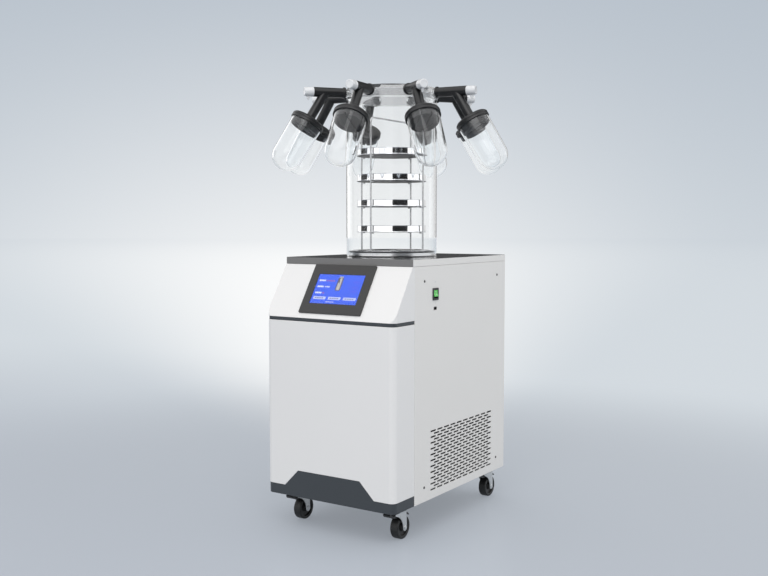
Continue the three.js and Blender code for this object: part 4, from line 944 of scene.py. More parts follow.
OUT_OF_SIDE = Matrix(((0, 0, 1, 0), (1, 0, 0, 0), (0, 1, 0, 0), (0, 0, 0, 1)))  # X to Y, Y to Z, Z to X
at_switch = Matrix.Translation((0, SWITCH.y, SWITCH.z)) @ OUT_OF_SIDE
flange = worked(plate(SWITCH_HALF * 2, HALF + gap, FRAME_FACE, 0.0022), rounded(0.0005, 3))
barrel = plate((0.025, 0.028), HALF - 0.020, HALF + 0.0008, 0.0015)
bay = plate((0.020, 0.023), HALF - 0.018, HALF + 0.009, 0.0012)
frame_mesh = combined(combined(flange, "UNION", barrel), "DIFFERENCE", bay)
piece("switch_housing", shaded(moved(frame_mesh, at_switch)), black_plastic,
      stands_for=["switch_frame"])

ROCKER_HALF, ROCKER_WIDTH, ROCKER_FACE, ROCKER_BACK = 0.0087, 0.0097, 0.010, 0.004
MARK_HEIGHT, MARK_SHEET = 0.0048, 0.00022
rise = tan(radians(ROCKER_TILT)) * ROCKER_HALF
button = outline_block([  # height and reach from the pivot
    (-ROCKER_HALF, ROCKER_FACE + rise), (0, ROCKER_FACE), (ROCKER_HALF, ROCKER_FACE + rise),
    (ROCKER_HALF, ROCKER_BACK), (-ROCKER_HALF, ROCKER_BACK)], -ROCKER_WIDTH, ROCKER_WIDTH)
SIDEWAYS = Matrix(((0, 1, 0, 0), (0, 0, 1, 0), (1, 0, 0, 0), (0, 0, 0, 1)))  # X to Z, Y to X, Z to Y
button = moved(worked(button, rounded(0.0006, 3, 12)), SIDEWAYS)
pivot = moved(rod(0.0045, -ROCKER_WIDTH, ROCKER_WIDTH, 32), TO_Y)
pose = Matrix.Translation(SWITCH) @ Matrix.Rotation(radians(-ROCKER_TILT), 4, "Y")
rocker = moved(combined(button, "UNION", pivot), pose)
piece("green_rocker", shaded(rocker), green_plastic, "rocker", ["switch_rocker"])
line_mark = plate((0.0012, 0.0050), 0, MARK_SHEET, 0.0004)
ring_mark = turned([(0.0016, 0), (0.0024, 0), (0.0024, MARK_SHEET), (0.0016, MARK_SHEET)], 32)
rocker_marks = [
    moved(mark, OUT_OF_SIDE, Matrix.Rotation(-side * radians(ROCKER_TILT), 4, "Y"),
          (ROCKER_FACE + rise * 0.55, 0, side * MARK_HEIGHT), pose)
    for mark, side in ((line_mark, 1), (ring_mark, -1))]
piece("rocker_marks", together(rocker_marks), mark_white, "rocker")

case_marks = []
for z, count in ((SWITCH.z + 0.0325, 3), (SWITCH.z - 0.0245, 2)):
    for k in range(count):
        bar = plate((0.0021, 0.0011), HALF - 0.0002, HALF + 0.00012, 0.0004,
                    ((k - (count - 1) / 2) * 0.0034, 0))
        case_marks.append(moved(bar, OUT_OF_SIDE, (0, SWITCH.y, z)))
piece("switch_position_marks", together(case_marks), grey_mark)

shell_steel = polished("socket_shell", (0.10, 0.10, 0.10), 0.35, (60.0, 60.0, 900.0))
shell = combined(plate((0.0152, 0.0082), HALF - 0.012, HALF - 0.0004, 0.0011), "DIFFERENCE",
                 plate((0.0142, 0.0072), HALF - 0.0115, HALF + 0.01, 0.0008))
tongue = plate((0.0118, 0.0022), HALF - 0.0115, HALF - 0.0018, 0.0004, (0, 0.0014))
at_socket = Matrix.Translation((0, SWITCH.y, SOCKET_Z)) @ OUT_OF_SIDE
piece("data_socket_shell", shaded(moved(shell, at_socket)), shell_steel)
piece("data_socket_tongue", shaded(moved(worked(tongue, rounded(0.0002)), at_socket)), black_plastic)


# ------------------------------------------------------------------ mains inlet
# A flanged appliance inlet, moulded in black plastic and pushed through the rear panel until its flange
# sits on the sheet. Its three flat pins are tinned and stand in a bay with two cut corners.
INLET_MIDDLE = ((inlet_low.x + inlet_high.x) / 2, (inlet_low.z + inlet_high.z) / 2)
pin_tin = finish("tinned_pins", (0.66, 0.64, 0.58), 0.25, grain=800.0, depth=0.05, change=0.1, Metallic=1.0)
at_inlet = Matrix.Translation((INLET_MIDDLE[0], 0, INLET_MIDDLE[1])) @ Matrix(
    ((-1, 0, 0, 0), (0, 0, 1, 0), (0, 1, 0, 0), (0, 0, 0, 1)))  # X to -X, Y to Z, Z to Y
flange = worked(plate((0.048, 0.027), BACK_Y + gap, inlet_high.y, 0.003), rounded(0.0006, 3))
body = plate((0.040, 0.019), BACK_Y - 0.020, BACK_Y + 0.001, 0.002)
bay = outline_block([(-0.0122, 0.0082), (-0.0122, -0.0035), (-0.0075, -0.0082), (0.0075, -0.0082),
                     (0.0122, -0.0035), (0.0122, 0.0082)], BACK_Y - 0.018, BACK_Y + 0.009)
inlet = combined(combined(flange, "UNION", body), "DIFFERENCE", bay)
piece("inlet_body", shaded(moved(inlet, at_inlet)), black_plastic,
      stands_for=["mains_inlet"])
pins = [worked(plate((0.002, 0.004), BACK_Y - 0.0185, BACK_Y - 0.005, 0.0003, at), rounded(0.0003))
        for at in ((-0.007, -0.001), (0.007, -0.001), (0, 0.003))]
piece("inlet_pins", shaded(moved(together(pins), at_inlet)), pin_tin)


# ------------------------------------------------------------------ cold trap
# A deep-drawn well of stainless steel under the chamber. Its refrigerated coil is soldered round the wall
# under two straps, and the vacuum line that is welded in below the deck ends in a flange at the back.
TRAP_INNER, TRAP_OUTER = MOUTH - 0.004, MOUTH - 0.002
TRAP_SHEET = TRAP_OUTER - TRAP_INNER
COIL_TUBE, COIL_TURNS, COIL_PITCH, COIL_STEPS = 0.005, 4, 0.028, 40
COIL_RADIUS = TRAP_INNER - COIL_TUBE - 0.002
LINE_OUTER, LINE_INNER, LINE_FLANGE = 0.014, 0.012, 0.020
satin_steel = polished("satin_stainless", (0.62, 0.62, 0.63), 0.24, (35.0, 35.0, 1600.0), depth=0.05)


def tube_tree():
    """A round tube that follows the edges of the mesh that it is given, with its corners bent to a radius."""
    tree, sizes, end = node_tree("bent_tube", Radius=0.005, Bend=0.0, Sides=24)
    path = step(tree, "GeometryNodeMeshToCurve", Mesh=sizes["Geometry"])[0]
    path = step(tree, "GeometryNodeFilletCurve", {"mode": "POLY"}, Curve=path, Count=10, Radius=sizes["Bend"],
                Limit_Radius=True)[0]
    section = step(tree, "GeometryNodeCurvePrimitiveCircle", Resolution=sizes["Sides"],
                   Radius=sizes["Radius"])[0]
    return close_tree(tree, sizes, end, step(tree, "GeometryNodeCurveToMesh", Curve=path,
                                             Profile_Curve=section, Fill_Caps=True)[0])


def path_mesh(*paths):
    """Lines of points joined by edges, as the route for a tube."""
    points, edges = [], []
    for path in paths:
        edges += [(len(points) + k, len(points) + k + 1) for k in range(len(path) - 1)]
        points += path
    return drawn(points, edges)


TUBES = tube_tree()
floor_z = trap_low.z + TRAP_SHEET
well = worked(turned([
    (0, trap_low.z), (TRAP_OUTER, trap_low.z), (TRAP_OUTER, DECK_Z + gap), (trap_high.x, DECK_Z + gap),
    (trap_high.x, trap_high.z), (TRAP_INNER, trap_high.z), (TRAP_INNER, floor_z), (0, floor_z)], 96),
    rounded(0.0009, 3))
line_bore = moved(rod(LINE_INNER, TRAP_INNER - 0.008, TRAP_INNER + 0.009, 32), TO_Y, (0, 0, LINE_Z))
piece("cold_trap_well", shaded(combined(well, "DIFFERENCE", line_bore)), satin_steel,
      stands_for=["cold_trap"])
low = floor_z + 0.03
turns = [(COIL_RADIUS * cos(2 * pi * k / COIL_STEPS), COIL_RADIUS * sin(2 * pi * k / COIL_STEPS),
          low + COIL_PITCH * k / COIL_STEPS) for k in range(COIL_TURNS * COIL_STEPS + 1)]
coil = grown(TUBES, path_mesh(turns), satin_steel, Radius=COIL_TUBE, Sides=20)
piece("cold_trap_coil", shaded(coil), None, stands_for=["cold_trap"])
strap = block((COIL_RADIUS, -0.003, low - 0.009),
              (TRAP_INNER + 0.001, 0.003, low + COIL_TURNS * COIL_PITCH + 0.009))
straps = [moved(strap.copy(), Matrix.Rotation(angle, 4, "Z")) for angle in (0, pi)]
piece("coil_straps", shaded(worked(together(straps), rounded(0.0004))), satin_steel)
line_end = trap_high.y
line = moved(worked(turned([
    (LINE_INNER, TRAP_OUTER - 0.001), (LINE_OUTER, TRAP_OUTER - 0.001), (LINE_OUTER, line_end - 0.008),
    (LINE_FLANGE, line_end - 0.0035), (LINE_FLANGE, line_end), (LINE_INNER, line_end)], 64),
    rounded(0.0005, 2, 20)), TO_Y, (0, 0, LINE_Z))
piece("vacuum_line", shaded(line), satin_steel, stands_for=["cold_trap"])


# ------------------------------------------------------------------ condensing unit
# The refrigeration unit stands on a folded bed plate: a hermetic compressor, and behind the slots of the
# side panel a finned condenser with its copper tubes, a sheet-metal shroud and the fan motor on a bracket.
unit_low, unit_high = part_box("condensing_unit")
fan_low, fan_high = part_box("fan_rotor")
FAN = Vector(joints["fan_spin"]["pos_m"])
CONDENSER_X = unit_high.x - 0.04
FIN_PITCH, FIN_SHEET = 0.0032, 0.0003
BED = 0.003
SHROUD_X, SHROUD_SHEET = fan_low.x - 0.004, 0.0015
FAN_OPENING, RIM_WIDTH = 0.076, 0.012
FRAME_SHEET = 0.0012
TUBE_RADIUS, TUBE_BEND, TUBE_PITCH, TUBE_RUNS = 0.0035, 0.013, 0.028, 6
SHROUD_HALF = FAN_OPENING + 0.009
POD_RADIUS, POD_HEIGHT, POD_X = 0.075, 0.190, -0.060
pod_foot = unit_low.z + 0.002
aluminium = polished("fin_aluminium", (0.50, 0.51, 0.52), 0.35, (200.0, 900.0, 40.0), depth=0.05)
machine_black = finish("machine_black_paint", (0.020, 0.021, 0.023), 0.34, grain=900.0, depth=0.2, change=0.1)
galvanized = finish("galvanized_sheet", (0.42, 0.43, 0.43), 0.42, grain=180.0, depth=0.1, change=0.3,
                    gloss_change=0.3, Metallic=0.9)
copper = polished("copper_tube", (0.66, 0.30, 0.17), 0.3, (500.0, 60.0, 500.0), depth=0.05)


def fin_tree():
    """A row of thin plates, each a block of one size, set out from a first place by a step."""
    tree, sizes, end = node_tree("fin_stack", Size=(0.04, 0.0003, 0.19), First=(0.0, 0.0, 0.0),
                                 Step=(0.0, 0.003, 0.0), Count=10)
    line = step(tree, "GeometryNodeMeshLine", {"mode": "OFFSET"}, Count=sizes["Count"],
                Start_Location=sizes["First"], Offset=sizes["Step"])[0]
    fin = step(tree, "GeometryNodeMeshCube", Size=sizes["Size"])[0]
    return close_tree(tree, sizes, end, step(tree, "GeometryNodeInstanceOnPoints", Points=line,
                                             Instance=fin)[0])


fin_height = unit_high.z - unit_low.z - BED - 0.002
fin_count = int((unit_high.y - unit_low.y - 0.006) / FIN_PITCH)
middle_y, fin_z = (unit_high.y + unit_low.y) / 2, unit_low.z + BED + fin_height / 2
first_fin = (CONDENSER_X + 0.02, middle_y - FIN_PITCH * (fin_count - 1) / 2, fin_z)
fins = grown(fin_tree(), drawn([(0, 0, 0)]), aluminium, Size=(0.036, FIN_SHEET, fin_height - 0.004),
             First=first_fin, Step=(0.0, FIN_PITCH, 0.0), Count=fin_count)
piece("condenser_fins", fins, None, stands_for=["condensing_unit"])
frame_parts = [
    block((CONDENSER_X, y, unit_low.z + BED), (unit_high.x, y + FRAME_SHEET, unit_high.z))
    for y in (unit_low.y, unit_high.y - FRAME_SHEET)
] + [block((CONDENSER_X, unit_low.y + FRAME_SHEET, z),
           (unit_high.x, unit_high.y - FRAME_SHEET, z + FRAME_SHEET))
     for z in (unit_low.z + BED, unit_high.z - FRAME_SHEET)]
bed = block((-CONDENSER_X, unit_low.y, unit_low.z), (unit_high.x, unit_high.y, unit_low.z + BED))
shroud = combined(
    block((SHROUD_X, FAN.y - SHROUD_HALF, unit_low.z + BED),
          (CONDENSER_X - 0.0002, FAN.y + SHROUD_HALF, unit_high.z)),
    "DIFFERENCE",
    block((SHROUD_X + SHROUD_SHEET, FAN.y - SHROUD_HALF + SHROUD_SHEET, unit_low.z + BED + SHROUD_SHEET),
          (CONDENSER_X + 0.01, FAN.y + SHROUD_HALF - SHROUD_SHEET, unit_high.z - SHROUD_SHEET)),
    moved(rod(FAN_OPENING, -0.05, 0.05, 64), TO_X, (SHROUD_X, FAN.y, FAN.z)))
rim = moved(turned([
    (FAN_OPENING, 0), (FAN_OPENING + FRAME_SHEET, 0), (FAN_OPENING + FRAME_SHEET, RIM_WIDTH),
    (FAN_OPENING, RIM_WIDTH)], 64), TO_X, (SHROUD_X, FAN.y, FAN.z))
bracket = [block((near, y - half, FAN.z - 0.007), (far, y + half, FAN.z + 0.007)) for near, far, y, half in (
    (SHROUD_X - 0.008, SHROUD_X - 0.005, FAN.y, 0.084), (SHROUD_X - 0.005, SHROUD_X, FAN.y - 0.080, 0.004),
    (SHROUD_X - 0.005, SHROUD_X, FAN.y + 0.080, 0.004))]
sheet_parts = together(frame_parts + [bed, shroud, rim] + bracket)
piece("condenser_frame_and_shroud", shaded(worked(sheet_parts, rounded(0.0003, 1))), galvanized,
      stands_for=["condensing_unit"])
ends = (unit_low.y, unit_high.y, unit_high.y, unit_low.y)  # of a run to the back and of the run above it
runs = [[(x, ends[2 * (k % 2) + half], unit_low.z + 0.025 + TUBE_PITCH * k)
         for k in range(TUBE_RUNS) for half in (0, 1)] for x in (CONDENSER_X + 0.011, CONDENSER_X + 0.029)]
tubes = grown(TUBES, path_mesh(*runs), copper, Radius=TUBE_RADIUS, Bend=TUBE_BEND, Sides=12)
piece("condenser_tubes", shaded(tubes), None)
motor = moved(worked(turned([
    (0, -0.034), (0.022, -0.034), (0.022, -0.002), (0.010, -0.002), (0.010, 0), (0.004, 0), (0.004, 0.020),
    (0, 0.020)], 48), rounded(0.0015, 3)), TO_X, (SHROUD_X, FAN.y, FAN.z))
dome = [(POD_RADIUS * cos(pi / 2 * k / 12), POD_HEIGHT - 0.046 + 0.61 * POD_RADIUS * sin(pi / 2 * k / 12))
        for k in range(13)]
pod = moved(worked(turned([
    (0, 0), (POD_RADIUS - 0.008, 0), (POD_RADIUS, 0.014), (POD_RADIUS, POD_HEIGHT * 0.45),
    (POD_RADIUS + 0.003, POD_HEIGHT * 0.45), (POD_RADIUS + 0.003, POD_HEIGHT * 0.5),
    (POD_RADIUS, POD_HEIGHT * 0.5)] + dome, 80), rounded(0.0012, 2, 25)), (POD_X, FAN.y, pod_foot))
piece("compressor_and_motor", shaded(together([pod, motor])), machine_black,
      stands_for=["condensing_unit"])


# ------------------------------------------------------------------ fan
# An axial fan, moulded in black plastic and pressed onto the motor's shaft. Its five blades are twisted and
# cambered, and they turn just inside the rim of the shroud.
FAN_RADIUS, FAN_HUB, FAN_BORE = 0.072, 0.022, 0.0043
BLADE_STEPS, CHORD_STEPS = 10, 6
fan_depth = fan_high.x - fan_low.x


def ring_tree():
    """Copies of the mesh that it is given, turned about the X axis at equal angles."""
    tree, sizes, end = node_tree("ring_of_blades", Count=5, Centre=(0.0, 0.0, 0.0))
    share = calc(tree, "DIVIDE", step(tree, "GeometryNodeInputIndex")[0], sizes["Count"])
    angle = calc(tree, "MULTIPLY", share, 2 * pi)
    turn = step(tree, "FunctionNodeAxisAngleToRotation", Axis=(1.0, 0.0, 0.0), Angle=angle)[0]
    points = step(tree, "GeometryNodePoints", Count=sizes["Count"], Position=sizes["Centre"])[0]
    return close_tree(tree, sizes, end, step(tree, "GeometryNodeInstanceOnPoints", Points=points,
                                             Instance=sizes["Geometry"], Rotation=turn)[0])


def fan_blade():
    points, faces = [], []
    for i in range(BLADE_STEPS + 1):
        share = i / BLADE_STEPS
        radius = FAN_HUB - 0.002 + share * (FAN_RADIUS - FAN_HUB + 0.0018)
        pitch = radians(42 - 20 * share)
        chord = (0.018 + 0.014 * share) * (1 - 0.25 * share ** 6)
        for j in range(CHORD_STEPS + 1):
            along = (j / CHORD_STEPS - 0.5) * chord
            camber = 0.0015 * (1 - (2 * j / CHORD_STEPS - 1) ** 2)
            axial = along * sin(pitch) + camber * cos(pitch)
            angle = (along * cos(pitch) - camber * sin(pitch)) / radius + 0.25 * share
            points.append((axial, radius * sin(angle), radius * cos(angle)))
    row = CHORD_STEPS + 1
    for i in range(BLADE_STEPS):
        for j in range(CHORD_STEPS):
            first = i * row + j
            faces.append((first, first + 1, first + row + 1, first + row))
    return worked(made(points, faces), ("SOLIDIFY", {"thickness": 0.0012, "offset": 0}))


hub_middle = (fan_low.x + fan_high.x) / 2
blades = grown(ring_tree(), fan_blade(), black_plastic, Count=5, Centre=(hub_middle, FAN.y, FAN.z))
hub = moved(worked(turned([
    (FAN_BORE, -fan_depth / 2), (FAN_HUB, -fan_depth / 2), (FAN_HUB, fan_depth / 2),
    (FAN_BORE, fan_depth / 2)], 48), rounded(0.0015, 3)), TO_X, (hub_middle, FAN.y, FAN.z))
piece("fan_blades_and_hub", shaded(together([blades, hub])), black_plastic, "fan",
      ["fan_rotor"])


# ------------------------------------------------------------------ base ring
# A turned steel ring that centres the chamber over the trap and carries the tray rack. A black band round its
# foot and another over its head are seal rubber and also painted contact shade, where the ring meets the deck
# and the tube.
ring_low, ring_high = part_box("base_ring")
RING_INNER = ring_high.x - 0.014
SEAL_AND_SHADE_BAND = 0.0034
bright_steel = polished("bright_stainless", (0.68, 0.68, 0.685), 0.27, (12.0, 12.0, 2200.0), depth=0.03,
                        change=0.05)
ring = worked(turned([
    (RING_INNER, trap_high.z + gap), (trap_high.x + gap, trap_high.z + gap), (trap_high.x + gap, ring_low.z),
    (ring_high.x, ring_low.z), (ring_high.x, DECK_Z + SEAL_AND_SHADE_BAND), (ring_high.x, ring_high.z - SEAL_AND_SHADE_BAND),
    (ring_high.x, ring_high.z), (ring_high.x - 0.004, ring_high.z),
    (ring_high.x - 0.0045, ring_high.z - 0.0009), (ring_high.x - 0.0055, ring_high.z - 0.0009),
    (ring_high.x - 0.006, ring_high.z), (RING_INNER, ring_high.z)], 128), rounded(0.0007, 3, 40))
contact_shade_and_seal = finish("seal_rubber_and_contact_shade", (0.012, 0.012, 0.013), 0.45, grain=1100.0, depth=0.1, change=0.1)


# Faces on the ring's head, and its outer faces just above the deck, get the black: seal colour and painted
# contact shade.
def seal_or_contact_shade_faces(face):
    outside = hypot(face.center.x, face.center.y) > ring_high.x - 0.001
    return int(face.center.z > ring_high.z - SEAL_AND_SHADE_BAND or outside and face.center.z < DECK_Z + SEAL_AND_SHADE_BAND)


piece("chamber_base_ring", dressed(shaded(ring), (bright_steel, contact_shade_and_seal), seal_or_contact_shade_faces), None,
      stands_for=["base_ring"])


# ------------------------------------------------------------------ drying chamber
# A clear acrylic tube bonded to a thick collar and lid, whose turned walls are left matt. Eight conical
# bosses with bored nipples are cemented into the collar for the valves.
chamber_low, chamber_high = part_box("drying_chamber")
CHAMBER_TOP = chamber_high.z
CHAMBER_RADIUS, CHAMBER_INNER, COLLAR_INNER = 0.130, 0.125, 0.110
COLLAR_HEIGHT, LID_THICKNESS = 0.031, 0.006
NIPPLE_RADIUS, NIPPLE_BORE, SHOULDER_RADIUS, SHOULDER_TIP = 0.008, 0.005, 0.0138, 0.0118
KNOBS = [joints["knob_turn_%d" % k] for k in range(1, 9)]
PORT_Z = KNOBS[0]["pos_m"][2]
PORT_ANGLES = [atan2(knob["axis"][1], knob["axis"][0]) for knob in KNOBS]
NIPPLE_END, SHOULDER_END = 0.160, 0.1383
clear_acrylic = light_through(finish(
    "clear_acrylic", (0.985, 0.99, 0.99), 0.02, grain=70.0, depth=0.002, change=0.01, gloss_change=0.02,
    Transmission_Weight=1.0, IOR=1.22))
matt_acrylic = finish("matt_acrylic", (0.33, 0.335, 0.34), 0.6, grain=400.0, depth=0.05, change=0.05,
                      Alpha=0.32, IOR=1.3)
collar_foot = CHAMBER_TOP - COLLAR_HEIGHT
chamber = worked(turned([
    (CHAMBER_INNER, chamber_low.z), (CHAMBER_RADIUS, chamber_low.z), (CHAMBER_RADIUS, collar_foot),
    (CHAMBER_RADIUS, CHAMBER_TOP), (0, CHAMBER_TOP), (0, CHAMBER_TOP - LID_THICKNESS),
    (COLLAR_INNER, CHAMBER_TOP - LID_THICKNESS),
    (COLLAR_INNER, collar_foot), (CHAMBER_INNER, collar_foot)], 144), rounded(0.0006, 2, 50))


def at_port(mesh, angle):
    """Turns a shape drawn along +Z to run out along a port, from the chamber's axis."""
    return moved(mesh, TO_X, (0, 0, PORT_Z), Matrix.Rotation(angle, 4, "Z"))


bosses = [at_port(turned([
    (0, COLLAR_INNER + 0.005), (SHOULDER_RADIUS, COLLAR_INNER + 0.005), (SHOULDER_TIP, SHOULDER_END),
    (NIPPLE_RADIUS, SHOULDER_END), (NIPPLE_RADIUS, NIPPLE_END - 0.001), (NIPPLE_RADIUS - 0.001, NIPPLE_END),
    (0, NIPPLE_END)], 40), angle) for angle in PORT_ANGLES]
bores = [at_port(rod(NIPPLE_BORE, COLLAR_INNER - 0.009, NIPPLE_END + 0.009, 24), angle)
         for angle in PORT_ANGLES]
chamber = combined(combined(chamber, "UNION", together(bosses)), "DIFFERENCE", together(bores))


def left_matt(face):
    """The turned walls of the collar, but not its flat faces."""
    in_wall = COLLAR_INNER - 0.0005 < hypot(face.center.x, face.center.y) < CHAMBER_RADIUS + 0.0002
    return int(in_wall and face.center.z > collar_foot - 0.0005 and abs(face.normal.z) <= 0.95)


piece("acrylic_chamber", shaded(dressed(chamber, (clear_acrylic, matt_acrylic), left_matt), 40), None,
      stands_for=["drying_chamber"])


# ------------------------------------------------------------------ tray rack
# Four stainless rods on a foot ring, two of them bent from one rod that is also the handle, with a lug
# welded to each rod under every tray.
rack_low, rack_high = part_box("tray_rack")
ROD_RADIUS, ROD_CIRCLE, HANDLE_BEND = 0.0025, 0.105, 0.012
LUG_REACH, LUG_WIDTH, LUG_THICKNESS = 0.010, 0.008, 0.003
rod_steel = polished("rod_stainless", (0.50, 0.50, 0.505), 0.26, (500.0, 500.0, 40.0), depth=0.04)
rod_foot, rod_top = rack_low.z + 0.001, rack_high.z - ROD_RADIUS
handle = [(0, side * ROD_CIRCLE, z)
          for side, z in ((-1, rod_foot), (-1, rod_top), (1, rod_top), (1, rod_foot))]
handle_rod = grown(TUBES, path_mesh(handle), rod_steel, Radius=ROD_RADIUS, Bend=HANDLE_BEND)
side_rods = [moved(rod(ROD_RADIUS, rod_foot, rack_high.z, 24, 0.0008), (side * ROD_CIRCLE, 0, 0))
             for side in (-1, 1)]
ring_half = rack_high.x - ROD_CIRCLE
foot_ring = worked(turned([
    (ROD_CIRCLE - ring_half, rack_low.z), (ROD_CIRCLE + ring_half, rack_low.z),
    (ROD_CIRCLE + ring_half, rack_low.z + 0.003), (ROD_CIRCLE - ring_half, rack_low.z + 0.003)], 96),
    rounded(0.0006, 2))
lugs = []
for number in range(1, 5):
    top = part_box("tray_%d" % number)[0].z - gap
    lug = block((ROD_CIRCLE - LUG_REACH, -LUG_WIDTH / 2, top - LUG_THICKNESS),
                (ROD_CIRCLE, LUG_WIDTH / 2, top))
    lugs += [moved(worked(lug, rounded(0.0008, 2)), Matrix.Rotation(k * pi / 2, 4, "Z")) for k in range(4)]
rack = together([handle_rod, foot_ring] + side_rods + lugs)
piece("rod_rack", shaded(rack), rod_steel, stands_for=["tray_rack"])


# ------------------------------------------------------------------ trays
# Four round trays, drawn from stainless sheet and polished, each with a small foot bead at its heel and a
# rolled rim. Their undersides are painted dark and dull, as painted shade, and they rest on the lugs of the
# rack.
TRAY_SHEET, TRAY_BEAD = 0.0015, 0.001
tray_steel = polished("tray_stainless", (0.80, 0.80, 0.81), 0.07, (10.0, 10.0, 1500.0), depth=0.02,
                      change=0.04)
painted_tray_shade = finish("tray_underside", (0.055, 0.055, 0.056), 0.5, grain=900.0, depth=0.1, change=0.1,
                   Specular_IOR_Level=0.1)
for number in range(1, 5):
    tray_low, tray_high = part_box("tray_%d" % number)
    wide, low, high = tray_high.x, tray_low.z, tray_high.z
    wall = wide - TRAY_BEAD
    rim = [(wall - TRAY_SHEET / 2 + 0.00085 * cos(t), high - 0.00085 + 0.00085 * sin(t))
           for t in (-pi / 3, 0, pi / 4, pi / 2, 3 * pi / 4, pi, 4 * pi / 3)]
    outside = [(0, low), (wide - 0.0015, low), (wide, low + 0.0008), (wide, low + 0.002),
               (wall, low + 0.003)]
    inside = [(wall - TRAY_SHEET, low + 0.004), (wall - TRAY_SHEET - 0.003, low + TRAY_SHEET),
              (0, low + TRAY_SHEET)]
    tray = worked(turned(outside + rim + inside, 160), rounded(0.0003, 2, 25))
    # Faces that point down get a dark, dull finish: painted shade on the trays' undersides.
    tray = dressed(shaded(tray), (tray_steel, painted_tray_shade), lambda face: int(face.normal.z < -0.5))
    piece("drying_tray_%d" % number, tray, None, stands_for=["tray_%d" % number])


# ------------------------------------------------------------------ valve bodies
# Moulded black rubber: a barrel that pushes over the nipple, a leg that slants outwards, and a wide cap
# with a hollow plug that seals the flask.
BARREL_START, BARREL_END, BARREL_RADIUS = 0.1386, 0.2306, 0.0135
FLANGE_RADIUS, FLANGE_WIDTH = 0.0161, 0.006
LEG_AT, LEG_TILT, LEG_RADIUS = 0.1959, radians(31.7), 0.013
CAP_AT, CAP_RADIUS, CAP_THICKNESS = 0.088, 0.048, 0.018
PLUG_RADIUS, PLUG_DRAFT, PLUG_DEPTH = 0.0422, 0.0015, 0.016
SPIGOT_SEAT = 0.0063
GROOVES, GROOVE_DEPTH = ((-0.020, 0.0009), (0.007, 0.0027)), 0.006  # each groove's place and half width
rubber = finish("black_rubber", (0.010, 0.0103, 0.011), 0.36, grain=1100.0, depth=0.16, change=0.18,
                gloss_change=0.22, Specular_IOR_Level=0.4)
cap_rubber = finish("grey_rubber_face", (0.020, 0.0203, 0.021), 0.6, grain=1000.0, depth=0.2, change=0.15)
ALONG_LEG = Matrix.Translation((LEG_AT, 0, 0)) @ Matrix.Rotation(pi - LEG_TILT, 4, "Y")


def at_ports(name, mesh, material, solid, body=None):
    """Adds a piece at every port, from a shape drawn for a port at angle 0 round the chamber's axis."""
    for number, angle in enumerate(PORT_ANGLES, 1):
        piece("%s_%d" % (name, number), moved(mesh.copy(), (0, 0, PORT_Z), Matrix.Rotation(angle, 4, "Z")),
              material, "%s_%d" % (body, number) if body else "root", ["%s_%d" % (solid, number)])


def valve_mesh():
    barrel = worked(turned([
        (0, BARREL_START), (FLANGE_RADIUS, BARREL_START), (FLANGE_RADIUS, BARREL_START + FLANGE_WIDTH),
        (BARREL_RADIUS, BARREL_START + FLANGE_WIDTH), (BARREL_RADIUS, BARREL_END), (0, BARREL_END)], 64),
        rounded(0.0012, 3))
    leg = turned([
        (0, -0.002), (LEG_RADIUS, -0.002), (LEG_RADIUS, CAP_AT - 0.006),
        (LEG_RADIUS + 0.0012, CAP_AT - 0.0022), (LEG_RADIUS + 0.004, CAP_AT + 0.0002),
        (LEG_RADIUS + 0.004, CAP_AT + 0.003), (0, CAP_AT + 0.003)], 64)
    under, bottom = CAP_AT + CAP_THICKNESS, CAP_AT + CAP_THICKNESS + PLUG_DEPTH
    cap = worked(turned([
        (0, CAP_AT), (CAP_RADIUS - 0.009, CAP_AT), (CAP_RADIUS - 0.004, CAP_AT + 0.0016),
        (CAP_RADIUS, CAP_AT + 0.0055), (CAP_RADIUS, CAP_AT + 0.0095), (CAP_RADIUS - 0.0009, CAP_AT + 0.0105),
        (CAP_RADIUS - 0.0009, CAP_AT + 0.0115), (CAP_RADIUS, CAP_AT + 0.0125), (CAP_RADIUS, under),
        (PLUG_RADIUS + 0.0006, under), (PLUG_RADIUS - 0.0003, under + 0.0015),
        (PLUG_RADIUS - PLUG_DRAFT, bottom), (PLUG_RADIUS - 0.007, bottom),
        (PLUG_RADIUS - 0.0075, bottom - 0.0014), (0.0265, bottom - 0.0014), (0.026, bottom - 0.0004),
        (0.0245, bottom - 0.0004), (0.024, bottom - 0.0020), (0, bottom - 0.0020)], 96),
        rounded(0.0006, 2, 25))
    floor = bottom - GROOVE_DEPTH
    slots = [block((-PLUG_RADIUS, y - half, floor), (PLUG_RADIUS, y + half, floor + 0.02))
             for y, half in GROOVES]
    arm = moved(combined(combined(leg, "UNION", cap), "DIFFERENCE", *slots), ALONG_LEG)
    body = combined(moved(barrel, TO_X), "UNION", arm)
    seat = moved(rod(NIPPLE_RADIUS + gap, BARREL_START - 0.001, NIPPLE_END + 0.001, 40), TO_X)
    spigot_seat = moved(rod(SPIGOT_SEAT, BARREL_END - 0.019, BARREL_END + 0.001, 40), TO_X)
    return combined(body, "DIFFERENCE", seat, spigot_seat)


to_cap = ALONG_LEG.inverted()
valve = dressed(shaded(valve_mesh(), 38), (rubber, cap_rubber), lambda face: int(
    (to_cap @ face.center).z > CAP_AT + CAP_THICKNESS - 0.0001))
at_ports("rubber_valve", valve, None, "valve_body")


